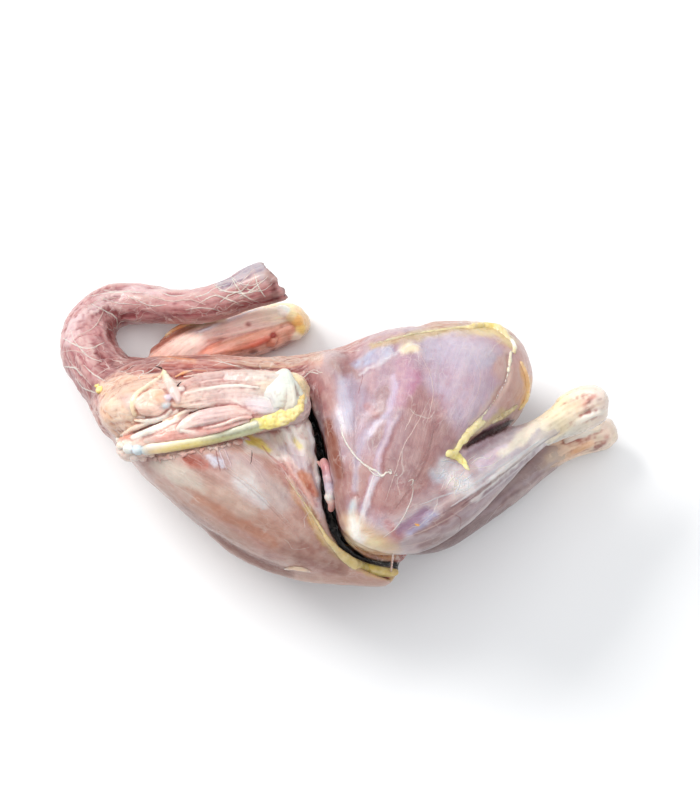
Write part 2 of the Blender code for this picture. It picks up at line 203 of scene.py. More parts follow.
class Grid:
    def __init__(self, lo, hi, h):
        self.lo, self.h = np.array(lo, float), h
        self.n = [int(math.ceil((hi[i] - lo[i]) / h)) + 1 for i in range(3)]
        self.F = np.full(self.n, 25.0, np.float32)

    def axes(self, i0=(0, 0, 0), i1=None):
        i1 = i1 or self.n
        a = [(self.lo[k] + self.h * np.arange(i0[k], i1[k])).astype(np.float32) for k in range(3)]
        return a[0][:, None, None], a[1][None, :, None], a[2][None, None, :]

    def window(self, lo, hi):
        i0 = [max(0, int((lo[k] - self.lo[k]) / self.h)) for k in range(3)]
        i1 = [min(self.n[k], int((hi[k] - self.lo[k]) / self.h) + 2) for k in range(3)]
        return i0, i1

    def add_limb(self, blend, stations, steps=9, ease=2, pad=None):
        S = spline(stations, steps)
        pad = pad or max(blend, 3) + 4
        r = np.maximum(S[:, 3], S[:, 4]).max() + pad
        i0, i1 = self.window(S[:, :3].min(0) - r, S[:, :3].max(0) + r)
        D = np.full([i1[k] - i0[k] for k in range(3)], 25.0, np.float32)
        for a, b in zip(S[:-1], S[1:]):
            rr = max(a[3], b[3], a[4], b[4]) + pad
            j0, j1 = self.window(np.minimum(a[:3], b[:3]) - rr, np.maximum(a[:3], b[:3]) + rr)
            j0 = [max(j0[k], i0[k]) for k in range(3)]
            j1 = [min(j1[k], i1[k]) for k in range(3)]
            if any(j1[k] <= j0[k] for k in range(3)):
                continue
            w = D[tuple(slice(j0[k] - i0[k], j1[k] - i0[k]) for k in range(3))]
            np.minimum(w, span_distance(a, b, *self.axes(j0, j1))[0].astype(np.float32), out=w)
        for axis in range(3):
            for _ in range(ease):
                m = np.moveaxis(D, axis, 0)
                m[1:-1] = 0.25 * m[:-2] + 0.5 * m[1:-1] + 0.25 * m[2:]
        box = tuple(slice(i0[k], i1[k]) for k in range(3))
        self.F[box] = smin(self.F[box], D, blend)

    def finer(self):
        """The same field with half the spacing."""
        F = self.F
        for axis in range(3):
            m = np.moveaxis(F, axis, 0)
            n = m.shape[0]
            out = np.empty((2 * n - 1, *m.shape[1:]), np.float32)
            out[::2] = m
            mid = 0.5 * (m[:-1] + m[1:])
            mid[1:-1] = (9 * (m[1:-2] + m[2:-1]) - m[:-3] - m[3:]) / 16
            out[1::2] = mid
            F = np.moveaxis(out, 0, axis)
        made = Grid.__new__(Grid)
        made.lo, made.h, made.F, made.n = self.lo, self.h / 2, np.ascontiguousarray(F), list(F.shape)
        return made

    def sample(self, P):
        q = (P - self.lo) / self.h
        i = np.clip(np.floor(q).astype(np.int64), 0, np.array(self.n) - 2)
        f = q - i
        out = 0.0
        for a in (0, 1):
            for b in (0, 1):
                for c in (0, 1):
                    w = ((f[:, 0] if a else 1 - f[:, 0]) * (f[:, 1] if b else 1 - f[:, 1])
                         * (f[:, 2] if c else 1 - f[:, 2]))
                    out = out + self.F[i[:, 0] + a, i[:, 1] + b, i[:, 2] + c] * w
        return out

    def slope(self, P, e=None):
        e = e or self.h * 0.8
        g = np.empty_like(P)
        for k in range(3):
            d = np.zeros(3)
            d[k] = e
            g[:, k] = (self.sample(P + d) - self.sample(P - d)) / (2 * e)
        return g

    def skin(self, project_steps=2):
        """(points, quads) of the surface where the field is zero, facing out."""
        F = self.F
        S = (F < 0).view(np.int8)
        count = (S[:-1, :-1, :-1] + S[1:, :-1, :-1] + S[:-1, 1:, :-1] + S[:-1, :-1, 1:]
                 + S[1:, 1:, :-1] + S[1:, :-1, 1:] + S[:-1, 1:, 1:] + S[1:, 1:, 1:])
        active = (count > 0) & (count < 8)
        cells = np.argwhere(active)
        index = np.full(active.shape, -1, np.int32)
        index[active] = np.arange(len(cells))
        P = np.zeros((len(cells), 3))
        n = np.zeros(len(cells))
        corners = [(a, b, c) for a in (0, 1) for b in (0, 1) for c in (0, 1)]
        for a in corners:
            for b in corners:
                if sum(abs(a[k] - b[k]) for k in range(3)) != 1 or a > b:
                    continue
                fa = F[cells[:, 0] + a[0], cells[:, 1] + a[1], cells[:, 2] + a[2]]
                fb = F[cells[:, 0] + b[0], cells[:, 1] + b[1], cells[:, 2] + b[2]]
                cross = (fa < 0) != (fb < 0)
                t = np.where(cross, fa / np.where(cross, fa - fb, 1), 0)
                P[cross] += (np.array(a) + t[:, None] * (np.array(b) - np.array(a)))[cross]
                n += cross
        P = self.lo + self.h * (cells + P / n[:, None])
        quads = []
        for axis in range(3):
            o1, o2 = [k for k in range(3) if k != axis]
            m = [slice(None)] * 3
            m2 = [slice(None)] * 3
            m[axis], m2[axis] = slice(0, -1), slice(1, None)
            s0, s1 = S[tuple(m)], S[tuple(m2)]
            inner = [slice(None)] * 3
            inner[o1], inner[o2] = slice(1, -1), slice(1, -1)
            change = (s0 != s1)[tuple(inner)]
            at = np.argwhere(change)
            at[:, o1] += 1
            at[:, o2] += 1
            inside = s0[tuple(at.T)] == 1
            ring = []
            for d1, d2 in ((-1, -1), (0, -1), (0, 0), (-1, 0)):
                c = at.copy()
                c[:, o1] += d1
                c[:, o2] += d2
                ring.append(index[tuple(c.T)])
            q = np.stack(ring, 1)
            flip = inside if axis == 1 else ~inside
            q[flip] = q[flip][:, ::-1]
            quads.append(q)
        quads = np.concatenate(quads)
        for _ in range(project_steps):
            g = self.slope(P)
            f = self.sample(P)
            move = -g * (f / np.maximum((g * g).sum(1), 0.15))[:, None]
            size = np.linalg.norm(move, axis=1, keepdims=True)
            P = P + move * np.minimum(1, 0.5 * self.h / np.maximum(size, 1e-9))
        return P, quads


def vertex_normals(P, faces):
    T = faces if faces.shape[1] == 3 else np.concatenate([faces[:, :3], faces[:, [0, 2, 3]]])
    n = np.cross(P[T[:, 1]] - P[T[:, 0]], P[T[:, 2]] - P[T[:, 0]])
    out = np.zeros_like(P)
    for k in range(3):
        np.add.at(out, T[:, k], n)
    return out / np.maximum(np.linalg.norm(out, axis=1, keepdims=True), 1e-12)


# =================================================================== colours
def colour(r, g, b):
    """Linear colour of 0-255 display values."""
    c = np.array([r, g, b]) / 255.0
    return np.where(c <= 0.04045, c / 12.92, ((c + 0.055) / 1.055) ** 2.4)


PINK = colour(205, 152, 146)
PALE = colour(222, 200, 192)
PEACH = colour(232, 208, 190)
ROSE = colour(196, 138, 136)
LILAC = colour(200, 176, 196)
BLUE = colour(200, 198, 218)
WHITE = colour(238, 232, 226)
CREAM = colour(236, 222, 186)
YELLOW = colour(222, 190, 104)
OLIVE = colour(186, 160, 84)
ORANGE = colour(196, 132, 104)
BROWN = colour(168, 126, 118)
RED = colour(150, 48, 40)
DARK = colour(44, 8, 8)
MAUVE = colour(186, 142, 142)
GREY = colour(176, 166, 172)


DEPTH, SATURATION, CONTRAST = 0.80, 1.12, 1.28


def deepen(C, depth=DEPTH, saturation=SATURATION):
    """Display tones to the flesh's own tones: what the light and the wet gloss add is taken off."""
    C = np.asarray(C, float)
    grey = (C @ np.array([0.2126, 0.7152, 0.0722]))[:, None]
    return np.clip(np.maximum(grey + (C - grey) * saturation, 0) ** CONTRAST * depth, 0.002, 1)


def mesh_piece(name, P, faces, colours=None, fibre=None, material=None, wet=None, depth=DEPTH, saturation=SATURATION):
    """A smooth mesh piece in metres, from points in millimetres."""
    if colours is not None:
        colours = deepen(colours, depth, saturation)
    mesh = bpy.data.meshes.new(name)
    faces = np.asarray(faces)
    k = faces.shape[1]
    mesh.vertices.add(len(P))
    mesh.vertices.foreach_set("co", (np.asarray(P) * 0.001).astype(np.float32).ravel())
    mesh.loops.add(faces.size)
    mesh.loops.foreach_set("vertex_index", faces.astype(np.int32).ravel())
    mesh.polygons.add(len(faces))
    mesh.polygons.foreach_set("loop_start", np.arange(0, faces.size, k, dtype=np.int32))
    mesh.polygons.foreach_set("use_smooth", np.ones(len(faces), bool))
    mesh.update(calc_edges=True)
    mesh.validate()
    if colours is not None:
        layer = mesh.color_attributes.new("Col", "FLOAT_COLOR", "POINT")
        data = np.ones((len(P), 4), np.float32)
        data[:, :3] = np.clip(colours, 0.0, 1.0)
        layer.data.foreach_set("color", data.ravel())
    if fibre is not None:
        layer = mesh.attributes.new("fibre", "FLOAT_VECTOR", "POINT")
        layer.data.foreach_set("vector", fibre.astype(np.float32).ravel())
    if wet is not None:
        layer = mesh.attributes.new("wet", "FLOAT", "POINT")
        layer.data.foreach_set("value", np.asarray(wet, np.float32))
    made = bpy.data.objects.new(name, mesh)
    bpy.context.scene.collection.objects.link(made)
    if material is not None:
        mesh.materials.append(material)
    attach(made, "root")
    return made


# ================================================================= materials
class Nodes:
    def __init__(self, name):
        self.material = bpy.data.materials.new(name)
        self.material.use_nodes = True
        self.tree = self.material.node_tree
        self.shader = self.tree.nodes["Principled BSDF"]

    def add(self, kind, **values):
        node = self.tree.nodes.new(kind)
        for key, value in values.items():
            setattr(node, key, value)
        return node

    def link(self, a, b):
        self.tree.links.new(a, b)

    def math(self, op, a, b=None, clamp=False):
        node = self.add("ShaderNodeMath", operation=op, use_clamp=clamp)
        for socket, value in zip(node.inputs, (a, b)):
            if value is None:
                continue
            if isinstance(value, (int, float)):
                socket.default_value = value
            else:
                self.link(value, socket)
        return node.outputs[0]

    def noise(self, vector, scale, detail=3.0, rough=0.55, distortion=0.0):
        node = self.add("ShaderNodeTexNoise")
        node.inputs["Scale"].default_value = scale
        node.inputs["Detail"].default_value = detail
        node.inputs["Roughness"].default_value = rough
        node.inputs["Distortion"].default_value = distortion
        self.link(vector, node.inputs["Vector"])
        return node.outputs["Fac"]

    def scaled(self, vector, scale):
        node = self.add("ShaderNodeVectorMath", operation="MULTIPLY")
        node.inputs[1].default_value = scale
        self.link(vector, node.inputs[0])
        return node.outputs[0]


def flesh(name, rough=0.34, coat=0.35, subsurface=0.22, streak=0.16, mottle=0.10, bump=0.5, fibres=True, pits=0.0,
          radius=(3.2, 1.3, 0.9), sheen=0.0, specular=0.5, coat_rough=0.16, ink=False):
    """Wet flesh: its colour from the piece, broken up along the fibres and in blotches."""
    n = Nodes(name)
    base = n.add("ShaderNodeAttribute", attribute_name="Col").outputs["Color"]
    place = n.add("ShaderNodeTexCoord").outputs["Object"]
    if fibres:
        grain = n.add("ShaderNodeAttribute", attribute_name="fibre").outputs["Vector"]
    else:
        grain = n.scaled(place, (1000.0, 1000.0, 1000.0))
    fine = n.noise(n.scaled(grain, (0.10, 1.5, 1.5)), 1.0, 3.0, 0.6, 0.25)
    coarse = n.noise(n.scaled(grain, (0.045, 0.42, 0.42)), 1.0, 2.0, 0.5, 0.35)
    blot = n.noise(place, 95.0, 3.0, 0.6)
    speck = n.noise(place, 620.0, 2.0, 0.5)
    # colour
    light = n.math("ADD", n.math("MULTIPLY", n.math("SUBTRACT", fine, 0.5), streak * 2),
                   n.math("MULTIPLY", n.math("SUBTRACT", coarse, 0.5), streak * 1.6))
    light = n.math("ADD", light, n.math("MULTIPLY", n.math("SUBTRACT", blot, 0.5), mottle * 2))
    light = n.math("ADD", light, n.math("MULTIPLY", n.math("SUBTRACT", speck, 0.5), mottle * 0.9))
    light = n.math("ADD", light, 1.0)
    tint = n.add("ShaderNodeVectorMath", operation="SCALE")
    n.link(base, tint.inputs[0])
    n.link(light, tint.inputs["Scale"])
    warm = n.add("ShaderNodeMix", data_type="RGBA", blend_type="MIX")
    n.link(n.math("MULTIPLY", n.math("SUBTRACT", n.noise(place, 210.0, 3.0, 0.6), 0.52, True), 1.3, True), warm.inputs[0])
    n.link(tint.outputs[0], warm.inputs[6])
    redder = n.add("ShaderNodeVectorMath", operation="MULTIPLY")
    redder.inputs[1].default_value = (1.02, 0.86, 0.84)
    n.link(tint.outputs[0], redder.inputs[0])
    n.link(redder.outputs[0], warm.inputs[7])
    tone, raised = warm.outputs[2], 0.0
    if ink:
        # a cobweb of membrane, then the drawn threads and creases
        web = n.add("ShaderNodeAttribute", attribute_name="web").outputs["Fac"]
        bent = n.add("ShaderNodeVectorMath", operation="ADD")
        drift = n.add("ShaderNodeTexNoise")
        drift.inputs["Scale"].default_value = 170.0
        drift.inputs["Detail"].default_value = 2.0
        n.link(place, drift.inputs["Vector"])
        n.link(n.scaled(drift.outputs["Color"], (1.2, 1.2, 1.2)), bent.inputs[1])
        n.link(n.scaled(grain, (0.085, 0.26, 0.26)), bent.inputs[0])
        cells = n.add("ShaderNodeTexVoronoi", feature="DISTANCE_TO_EDGE")
        cells.inputs["Scale"].default_value = 1.0
        n.link(bent.outputs[0], cells.inputs["Vector"])
        strand = n.add("ShaderNodeMapRange", interpolation_type="SMOOTHSTEP")
        for socket, value in (("From Min", 0.004), ("From Max", 0.055), ("To Min", 1.0), ("To Max", 0.0)):
            strand.inputs[socket].default_value = value
        n.link(cells.outputs["Distance"], strand.inputs["Value"])
        there = n.math("MULTIPLY", n.math("SUBTRACT", n.noise(place, 75.0, 2.0, 0.6), 0.44, True), 4.0, True)
        m = n.math("MULTIPLY", n.math("MULTIPLY", strand.outputs[0], there), web, True)
        mixed = n.add("ShaderNodeMix", data_type="RGBA")
        n.link(m, mixed.inputs[0])
        n.link(tone, mixed.inputs[6])
        mixed.inputs[7].default_value = (0.78, 0.70, 0.64, 1)
        tone, raised = mixed.outputs[2], n.math("MULTIPLY", m, 0.5)
        shiver = n.math("MULTIPLY", n.math("SUBTRACT", n.noise(place, 420.0, 2.0, 0.6), 0.5), 0.8)
        breaks = n.math("ADD", n.math("MULTIPLY", n.noise(place, 560.0, 2.0, 0.6), 1.3), 0.25, True)
        for k in range(CHANNELS):
            parts = n.add("ShaderNodeSeparateXYZ")
            n.link(n.add("ShaderNodeAttribute", attribute_name=f"line{k}").outputs["Vector"], parts.inputs[0])
            tint = n.add("ShaderNodeAttribute", attribute_name=f"tone{k}")
            ramp = n.add("ShaderNodeMapRange", interpolation_type="SMOOTHSTEP")
            n.link(n.math("ABSOLUTE", n.math("ADD", parts.outputs[0], shiver)), ramp.inputs["Value"])
            n.link(n.math("MULTIPLY", parts.outputs[2], 0.35), ramp.inputs["From Min"])
            n.link(n.math("MULTIPLY", parts.outputs[2], 1.35), ramp.inputs["From Max"])
            ramp.inputs["To Min"].default_value, ramp.inputs["To Max"].default_value = 1.0, 0.0
            m = n.math("MULTIPLY", n.math("MULTIPLY", ramp.outputs[0], parts.outputs[1]), breaks, True)
            mixed = n.add("ShaderNodeMix", data_type="RGBA")
            n.link(m, mixed.inputs[0])
            n.link(tone, mixed.inputs[6])
            n.link(tint.outputs["Color"], mixed.inputs[7])
            tone = mixed.outputs[2]
            raised = n.math("ADD", raised, n.math("MULTIPLY", m, tint.outputs["Alpha"]))
    n.link(tone, n.shader.inputs["Base Color"])
    # gloss
    gloss = n.math("ADD", n.math("MULTIPLY", n.math("SUBTRACT", n.noise(place, 330.0, 3.0, 0.6), 0.5), 0.28), rough)
    n.link(gloss, n.shader.inputs["Roughness"])
    n.shader.inputs["Coat Weight"].default_value = coat
    n.shader.inputs["Coat Roughness"].default_value = coat_rough
    n.shader.inputs["Coat IOR"].default_value = 1.36
    n.shader.inputs["IOR"].default_value = 1.42
    n.shader.inputs["Specular IOR Level"].default_value = specular
    if subsurface:
        n.shader.inputs["Subsurface Weight"].default_value = subsurface
        n.shader.inputs["Subsurface Radius"].default_value = radius
        n.shader.inputs["Subsurface Scale"].default_value = 0.001
    if sheen:
        n.shader.inputs["Sheen Weight"].default_value = sheen
        n.shader.inputs["Sheen Roughness"].default_value = 0.4
    # relief
    high = n.math("ADD", n.math("MULTIPLY", fine, 0.55), n.math("MULTIPLY", speck, 0.25))
    high = n.math("ADD", high, n.math("MULTIPLY", n.noise(place, 260.0, 3.0, 0.6), 0.5))
    if pits:
        cells = n.add("ShaderNodeTexVoronoi")
        cells.inputs["Scale"].default_value = 420.0
        n.link(place, cells.inputs["Vector"])
        high = n.math("ADD", high, n.math("MULTIPLY", cells.outputs["Distance"], pits))
    if ink:
        high = n.math("ADD", high, raised)
    relief = n.add("ShaderNodeBump")
    relief.inputs["Strength"].default_value = bump
    relief.inputs["Distance"].default_value = 0.0006
    n.link(high, relief.inputs["Height"])
    n.link(relief.outputs[0], n.shader.inputs["Normal"])
    return n.material


CHANNELS = 6
FLESH = flesh("raw_flesh_skin", streak=0.08, mottle=0.13, bump=0.6, ink=True, rough=0.33, coat=0.36, coat_rough=0.16)
FAT = flesh("chicken_fat", rough=0.3, coat=0.4, subsurface=0.35, streak=0.02, mottle=0.12, bump=0.55, fibres=False,
            pits=0.35, radius=(3.0, 2.2, 0.9))
THREAD = flesh("fascia_thread", rough=0.36, coat=0.3, subsurface=0.15, streak=0.03, mottle=0.05, bump=0.2, fibres=False)
BONE = flesh("bone_and_gristle", rough=0.3, coat=0.4, subsurface=0.3, streak=0.02, mottle=0.08, bump=0.3, fibres=False,
             radius=(2.4, 1.9, 1.3))
STRIP = flesh("muscle_strip", rough=0.3, coat=0.45, subsurface=0.25, streak=0.2, mottle=0.08, bump=0.6)


# ================================================================== the body
GRID_LO, GRID_HI = (-128.0, -78.0, -5.6), (126.0, 80.0, 103.0)
BODY_STEP = 0.94
GAP = ((306, 398, 0.9), (310, 412, 1.3), (315, 428, 1.9), (320, 450, 2.3), (325, 475, 2.4), (329, 500, 2.4), (332, 520, 2.4),
       (337.5, 534, 2.2), (346.5, 545.5, 2.3), (359, 555, 2.7), (375, 562, 3.1), (394, 565.5, 3.6), (411, 568, 4.6))

coarse = Grid(GRID_LO, GRID_HI, BODY_STEP * 2)
for blend, stations in CHAINS.values():
    coarse.add_limb(blend, stations)
body = coarse.finer()


NECK_CUT = ((275, 282), (275 + 80, 282 - 58))


def gap_distance(X, Y):
    line = []
    for u, v, half in GAP:
        p = plan(u, v, 72.0)
        line.append((p[0], p[1], half))
    line = spline(line, 3)
    best = None
    for a, b in zip(line[:-1], line[1:]):
        ux, uy = b[0] - a[0], b[1] - a[1]
        t = np.clip(((X - a[0]) * ux + (Y - a[1]) * uy) / (ux * ux + uy * uy), 0, 1)
        d = np.hypot(X - a[0] - t * ux, Y - a[1] - t * uy) - (a[2] + (b[2] - a[2]) * t)
        best = d if best is None else np.minimum(best, d)
    return best


def carve(grid):
    X, Y, Z = grid.axes()
    d = gap_distance(X[:, :, 0], Y[:, :, 0])[:, :, None]
    wander = 0.5 * np.sin(Z * 0.55 + X * 0.3) + 0.35 * np.sin(Y * 0.9 - Z * 0.2)
    near = np.maximum(d + 0.35 * wander, 47.0 - Z)
    grid.F = smax(grid.F, -near.astype(np.float32), 1.5)
    far = np.maximum(d + 0.35 * wander, Z - 33.0)
    grid.F = smax(grid.F, -far.astype(np.float32), 2.2)
    # the neck is cut across with a knife
    c = plan(*NECK_CUT[0], 41.0)
    out = plan(*NECK_CUT[1], 41.0) - c
    out /= np.linalg.norm(out)
    i0, i1 = grid.window(c - [22, 15, 12], c + [24, 15, 14])
    X, Y, Z = grid.axes(i0, i1)
    cut = (X - c[0]) * out[0] + (Y - c[1]) * out[1] + (Z - c[2]) * out[2]
    cut = cut + 0.35 * np.sin(Y * 1.1 + Z * 0.7) + 0.25 * np.sin(Z * 1.9 - Y * 0.8)
    box = tuple(slice(i0[k], i1[k]) for k in range(3))
    grid.F[box] = smax(grid.F[box], cut.astype(np.float32), 1.0)
    grid.F = smax(grid.F, (TABLE_Z - grid.axes()[2]).astype(np.float32), 0.5)
    for k in range(3):
        m = np.moveaxis(grid.F, k, 0)
        m[0], m[-1] = 5.0, 5.0


carve(body)
P, quads = body.skin()


def keep_largest(P, quads):
    """Leaves out crumbs that the cuts cut loose."""
    label = np.arange(len(P))
    while True:
        low = label[quads].min(1)
        new = label.copy()
        for k in range(4):
            np.minimum.at(new, quads[:, k], low)
        new = new[new]
        if (new == label).all():
            break
        label = new
    names, counts = np.unique(label, return_counts=True)
    keep = label == names[counts.argmax()]
    index = np.cumsum(keep) - 1
    return P[keep], index[quads[keep[quads[:, 0]]]]


P, quads = keep_largest(P, quads)
N = body.slope(P, 0.9)
N /= np.maximum(np.linalg.norm(N, axis=1, keepdims=True), 1e-9)


# ------------------------------------------------- which muscle, which fibres
def muscle_frames(P):
    """Weights of each muscle at the points, and the fibre position in the strongest one."""
    names = list(CHAINS)
    D = np.full((len(names), len(P)), 40.0)
    along = np.zeros((len(names), len(P)))
    aside = np.zeros((len(names), len(P)))
    height = np.zeros((len(names), len(P)))
    for m, name in enumerate(names):
        S = spline(CHAINS[name][1], 4)
        r = np.maximum(S[:, 3], S[:, 4]).max() + 12
        near = ((P > S[:, :3].min(0) - r) & (P < S[:, :3].max(0) + r)).all(1).nonzero()[0]
        Q = P[near]
        run = 0.0
        best = np.full(len(near), 40.0)
        s, w, z = np.zeros(len(near)), np.zeros(len(near)), np.zeros(len(near))
        for a, b in zip(S[:-1], S[1:]):
            d, t, qz = span_distance(a, b, Q[:, 0], Q[:, 1], Q[:, 2])
            length = np.linalg.norm(b[:3] - a[:3])
            flat = np.hypot(b[0] - a[0], b[1] - a[1]) + 1e-9
            lateral = ((Q[:, 0] - a[0]) * (b[1] - a[1]) - (Q[:, 1] - a[1]) * (b[0] - a[0])) / flat
            better = d < best
            best[better] = d[better]
            s[better] = run + t[better] * length
            w[better] = lateral[better]
            z[better] = qz[better]
            run += length
        D[m, near], along[m, near], aside[m, near], height[m, near] = best, s, w, z
    W = np.exp(-(D - D.min(0)) / 1.6)
    W /= W.sum(0)
    top = W.argmax(0)
    pick = (top, np.arange(len(P)))
    fibre = np.stack([along[pick] + 40.0 * top, aside[pick], height[pick]], 1)
    streaks = np.zeros(len(P))
    for m in range(len(names)):
        use = W[m] > 0.03
        if use.any():
            q = np.stack([along[m, use], aside[m, use], height[m, use]], 1)
            streaks[use] += W[m, use] * lumps(q, (16.0, 2.4, 2.4), 2, seed=m + 5)
    return names, W, fibre, streaks


NAMES, W, FIBRE, STREAKS = muscle_frames(P)
UV = project(P)


def weight(*wanted):
    return sum(W[NAMES.index(name)] for name in wanted)


def line_distance(UV, points):
    """Distance in squares to a drawn line whose points are (u, v) or (u, v, radius)."""
    line = np.array([(*p, 0.0) if len(p) == 2 else p for p in points], float)
    if len(line) == 1:
        return np.hypot(UV[:, 0] - line[0, 0], UV[:, 1] - line[0, 1]) - line[0, 2]
    if len(line) > 2:
        line = spline(line, 4)
    best = np.full(len(UV), 1e3)
    for a, b in zip(line[:-1], line[1:]):
        ux, uy = b[0] - a[0], b[1] - a[1]
        t = np.clip(((UV[:, 0] - a[0]) * ux + (UV[:, 1] - a[1]) * uy) / (ux * ux + uy * uy + 1e-9), 0, 1)
        best = np.minimum(best, np.hypot(UV[:, 0] - a[0] - t * ux, UV[:, 1] - a[1] - t * uy) - (a[2] + (b[2] - a[2]) * t))
    return best


UPPER = step(N[:, 2], -0.25, 0.15)
LOWER = 1.0 - UPPER
UVW = UV + np.stack([lumps(P, 7.0, 3, 71), lumps(P, 7.0, 3, 72)], 1) * 3.2


def drawn(points, soft, warped=True, side="upper"):
    d = line_distance(UVW if warped else UV, points)
    m = step(-d, -soft, soft * 0.35)
    if side == "upper":
        return m * UPPER
    if side == "lower":
        return m * LOWER
    return m


# ------------------------------------------------------------- fine modelling
lift = np.zeros(len(P))


def groove(points, depth, width, side="both"):
    """Sinks (or with a negative depth raises) a line that is width squares wide."""
    global lift
    d = np.maximum(line_distance(UV + (UVW - UV) * 0.4, points), 0)
    m = np.exp(-(d / width) ** 2)
    if side == "upper":
        m = m * UPPER
    elif side == "lower":
        m = m * LOWER
    lift = lift - depth * m


THIGH_LINES = (
    ([(392, 412), (374, 423), (363, 438), (356, 462)], 0.2, 3.4),
    ([(400, 414), (392, 434), (385, 452), (380, 470), (373, 492), (368, 516)], 0.22, 3.0),
    ([(397, 417), (389, 434), (382, 451), (377, 470), (370, 492), (363, 520)], -0.22, 2.6),
    ([(361, 376), (380, 364), (397, 351)], 0.3, 2.6),
    ([(470, 352), (468, 390), (452, 425), (430, 456)], 0.18, 7.0),
    ([(508, 356), (505, 380), (490, 408), (470, 430)], 0.7, 2.6),
)
for points, depth, width in THIGH_LINES:
    groove(points, depth, width)
groove([(456, 455), (467, 444), (484, 436), (508, 421)], 1.4, 3.4)
groove([(398, 530), (430, 508), (465, 482), (500, 455), (530, 437)], 0.3, 4.0)
groove([(472, 504), (500, 480), (530, 455), (552, 438)], 0.35, 2.4)
groove([(478, 494), (506, 470), (536, 446)], -0.3, 3.0)
groove([(356, 500), (357, 520), (362, 536)], -0.45, 3.0)
groove([(372, 480), (366, 506), (362, 530)], -0.15, 3.0)
groove([(404, 350), (412, 345), (420, 352)], -0.8, 5.0)
groove([(436, 470), (452, 480), (470, 490)], -0.35, 7.0)
groove([(500, 470), (530, 448), (556, 430)], -0.3, 4.0)
groove([(215, 460), (250, 486), (284, 520), (312, 552)], 0.25, 5.0)
groove([(300, 425), (308, 470), (320, 512), (334, 545)], -0.35, 4.0)
groove([(262, 442), (276, 454), (292, 470), (306, 492), (318, 518)], -0.7, 2.4)
groove([(270, 438), (286, 452), (301, 470), (312, 492)], 0.45, 2.4)
groove([(280, 436), (298, 452), (310, 474), (317, 496)], -0.35, 2.2)
groove([(311, 424), (315, 446), (321, 474), (326, 500), (334, 530)], -0.6, 2.0)
groove([(290, 478), (305, 505), (318, 530), (338, 552), (372, 568)], -0.9, 3.2)
groove([(130, 372), (180, 366), (240, 366), (300, 368)], 0.7, 4.0)
neck = weight("neck")
leg = weight("thigh_left_front", "thigh_left_middle", "thigh_left_back", "rump_left", "drumstick_left",
             "thigh_right_middle", "thigh_right_back", "rump_right", "drumstick_right")
drum = weight("drumstick_left", "drumstick_right")
breast = weight("breast_left", "breast_right", "keel")
wing = weight("wing_left_upper", "wing_left_fore", "wing_right_upper", "wing_right_fore", "wing_right_web")
trunk = weight("trunk", "tail", "belly", "belly_wall", "flank_left", "flank_right")
lift += STREAKS * (0.40 * neck + 0.07 * leg + 0.07 * breast + 0.40 * wing + 0.40 * trunk)
lift += lumps(P, 9.0, 2, 3) * (0.22 + 0.25 * neck + 0.3 * wing + 0.25 * trunk)
lift += lumps(P, 3.4, 2, 4) * (0.07 + 0.10 * wing + 0.10 * trunk + 0.06 * neck)
hold = step(P[:, 2], 0.6, 4.0)
P = P + N * (lift * hold)[:, None]
P[:, 2] = np.maximum(P[:, 2], TABLE_Z)
N = vertex_normals(P, quads)

# ------------------------------------------------------------------ colouring
BASES = {
    "trunk": colour(204, 152, 142), "breast_left": colour(207, 174, 163), "breast_right": colour(205, 170, 160),
    # belly_wall, the sheet inside the gap between breast and thigh, is painted dark maroon as shade
    "keel": colour(205, 168, 152), "belly": colour(176, 112, 108), "belly_wall": colour(120, 60, 58),
    "flank_left": colour(216, 194, 180), "flank_right": colour(206, 176, 164),
    "thigh_left_front": colour(186, 168, 176), "thigh_left_middle": colour(194, 172, 182),
    "thigh_left_back": colour(204, 182, 194), "rump_left": colour(214, 178, 164),
    "drumstick_left": colour(204, 194, 198), "thigh_right_middle": colour(196, 160, 162),
    "thigh_right_back": colour(194, 156, 154), "rump_right": colour(198, 154, 142),
    "drumstick_right": colour(176, 158, 160), "tail": colour(206, 168, 140), "neck": colour(202, 156, 158),
    "wing_left_upper": colour(226, 200, 192), "wing_left_fore": colour(222, 190, 180),
    "wing_right_upper": colour(228, 196, 184), "wing_right_fore": colour(196, 130, 108), "wing_right_web": colour(170, 120, 106),
}
C = np.zeros((len(P), 3))
for name in NAMES:
    C += W[NAMES.index(name)][:, None] * BASES[name]


def paint(tone, amount):
    global C
    m = np.clip(amount, 0, 1)[:, None]
    C = C * (1 - m) + tone * m


def dab(tone, points, soft, strength, side="upper", warped=True):
    paint(tone, drawn(points, soft, warped, side) * strength)


def shadow(points, soft, strength, side="upper", warped=True):
    """A deeper, bloodier tone of whatever is there."""
    global C
    m = (drawn(points, soft, warped, side) * strength)[:, None]
    C = C * (1 - m * np.array([0.42, 0.62, 0.60]))


# broad changes of tone
big = lumps(P, 26.0, 2, 9)
paint(ROSE, 0.22 * step(big, 0.0, 0.8))
paint(PALE, 0.22 * step(-big, 0.0, 0.8))
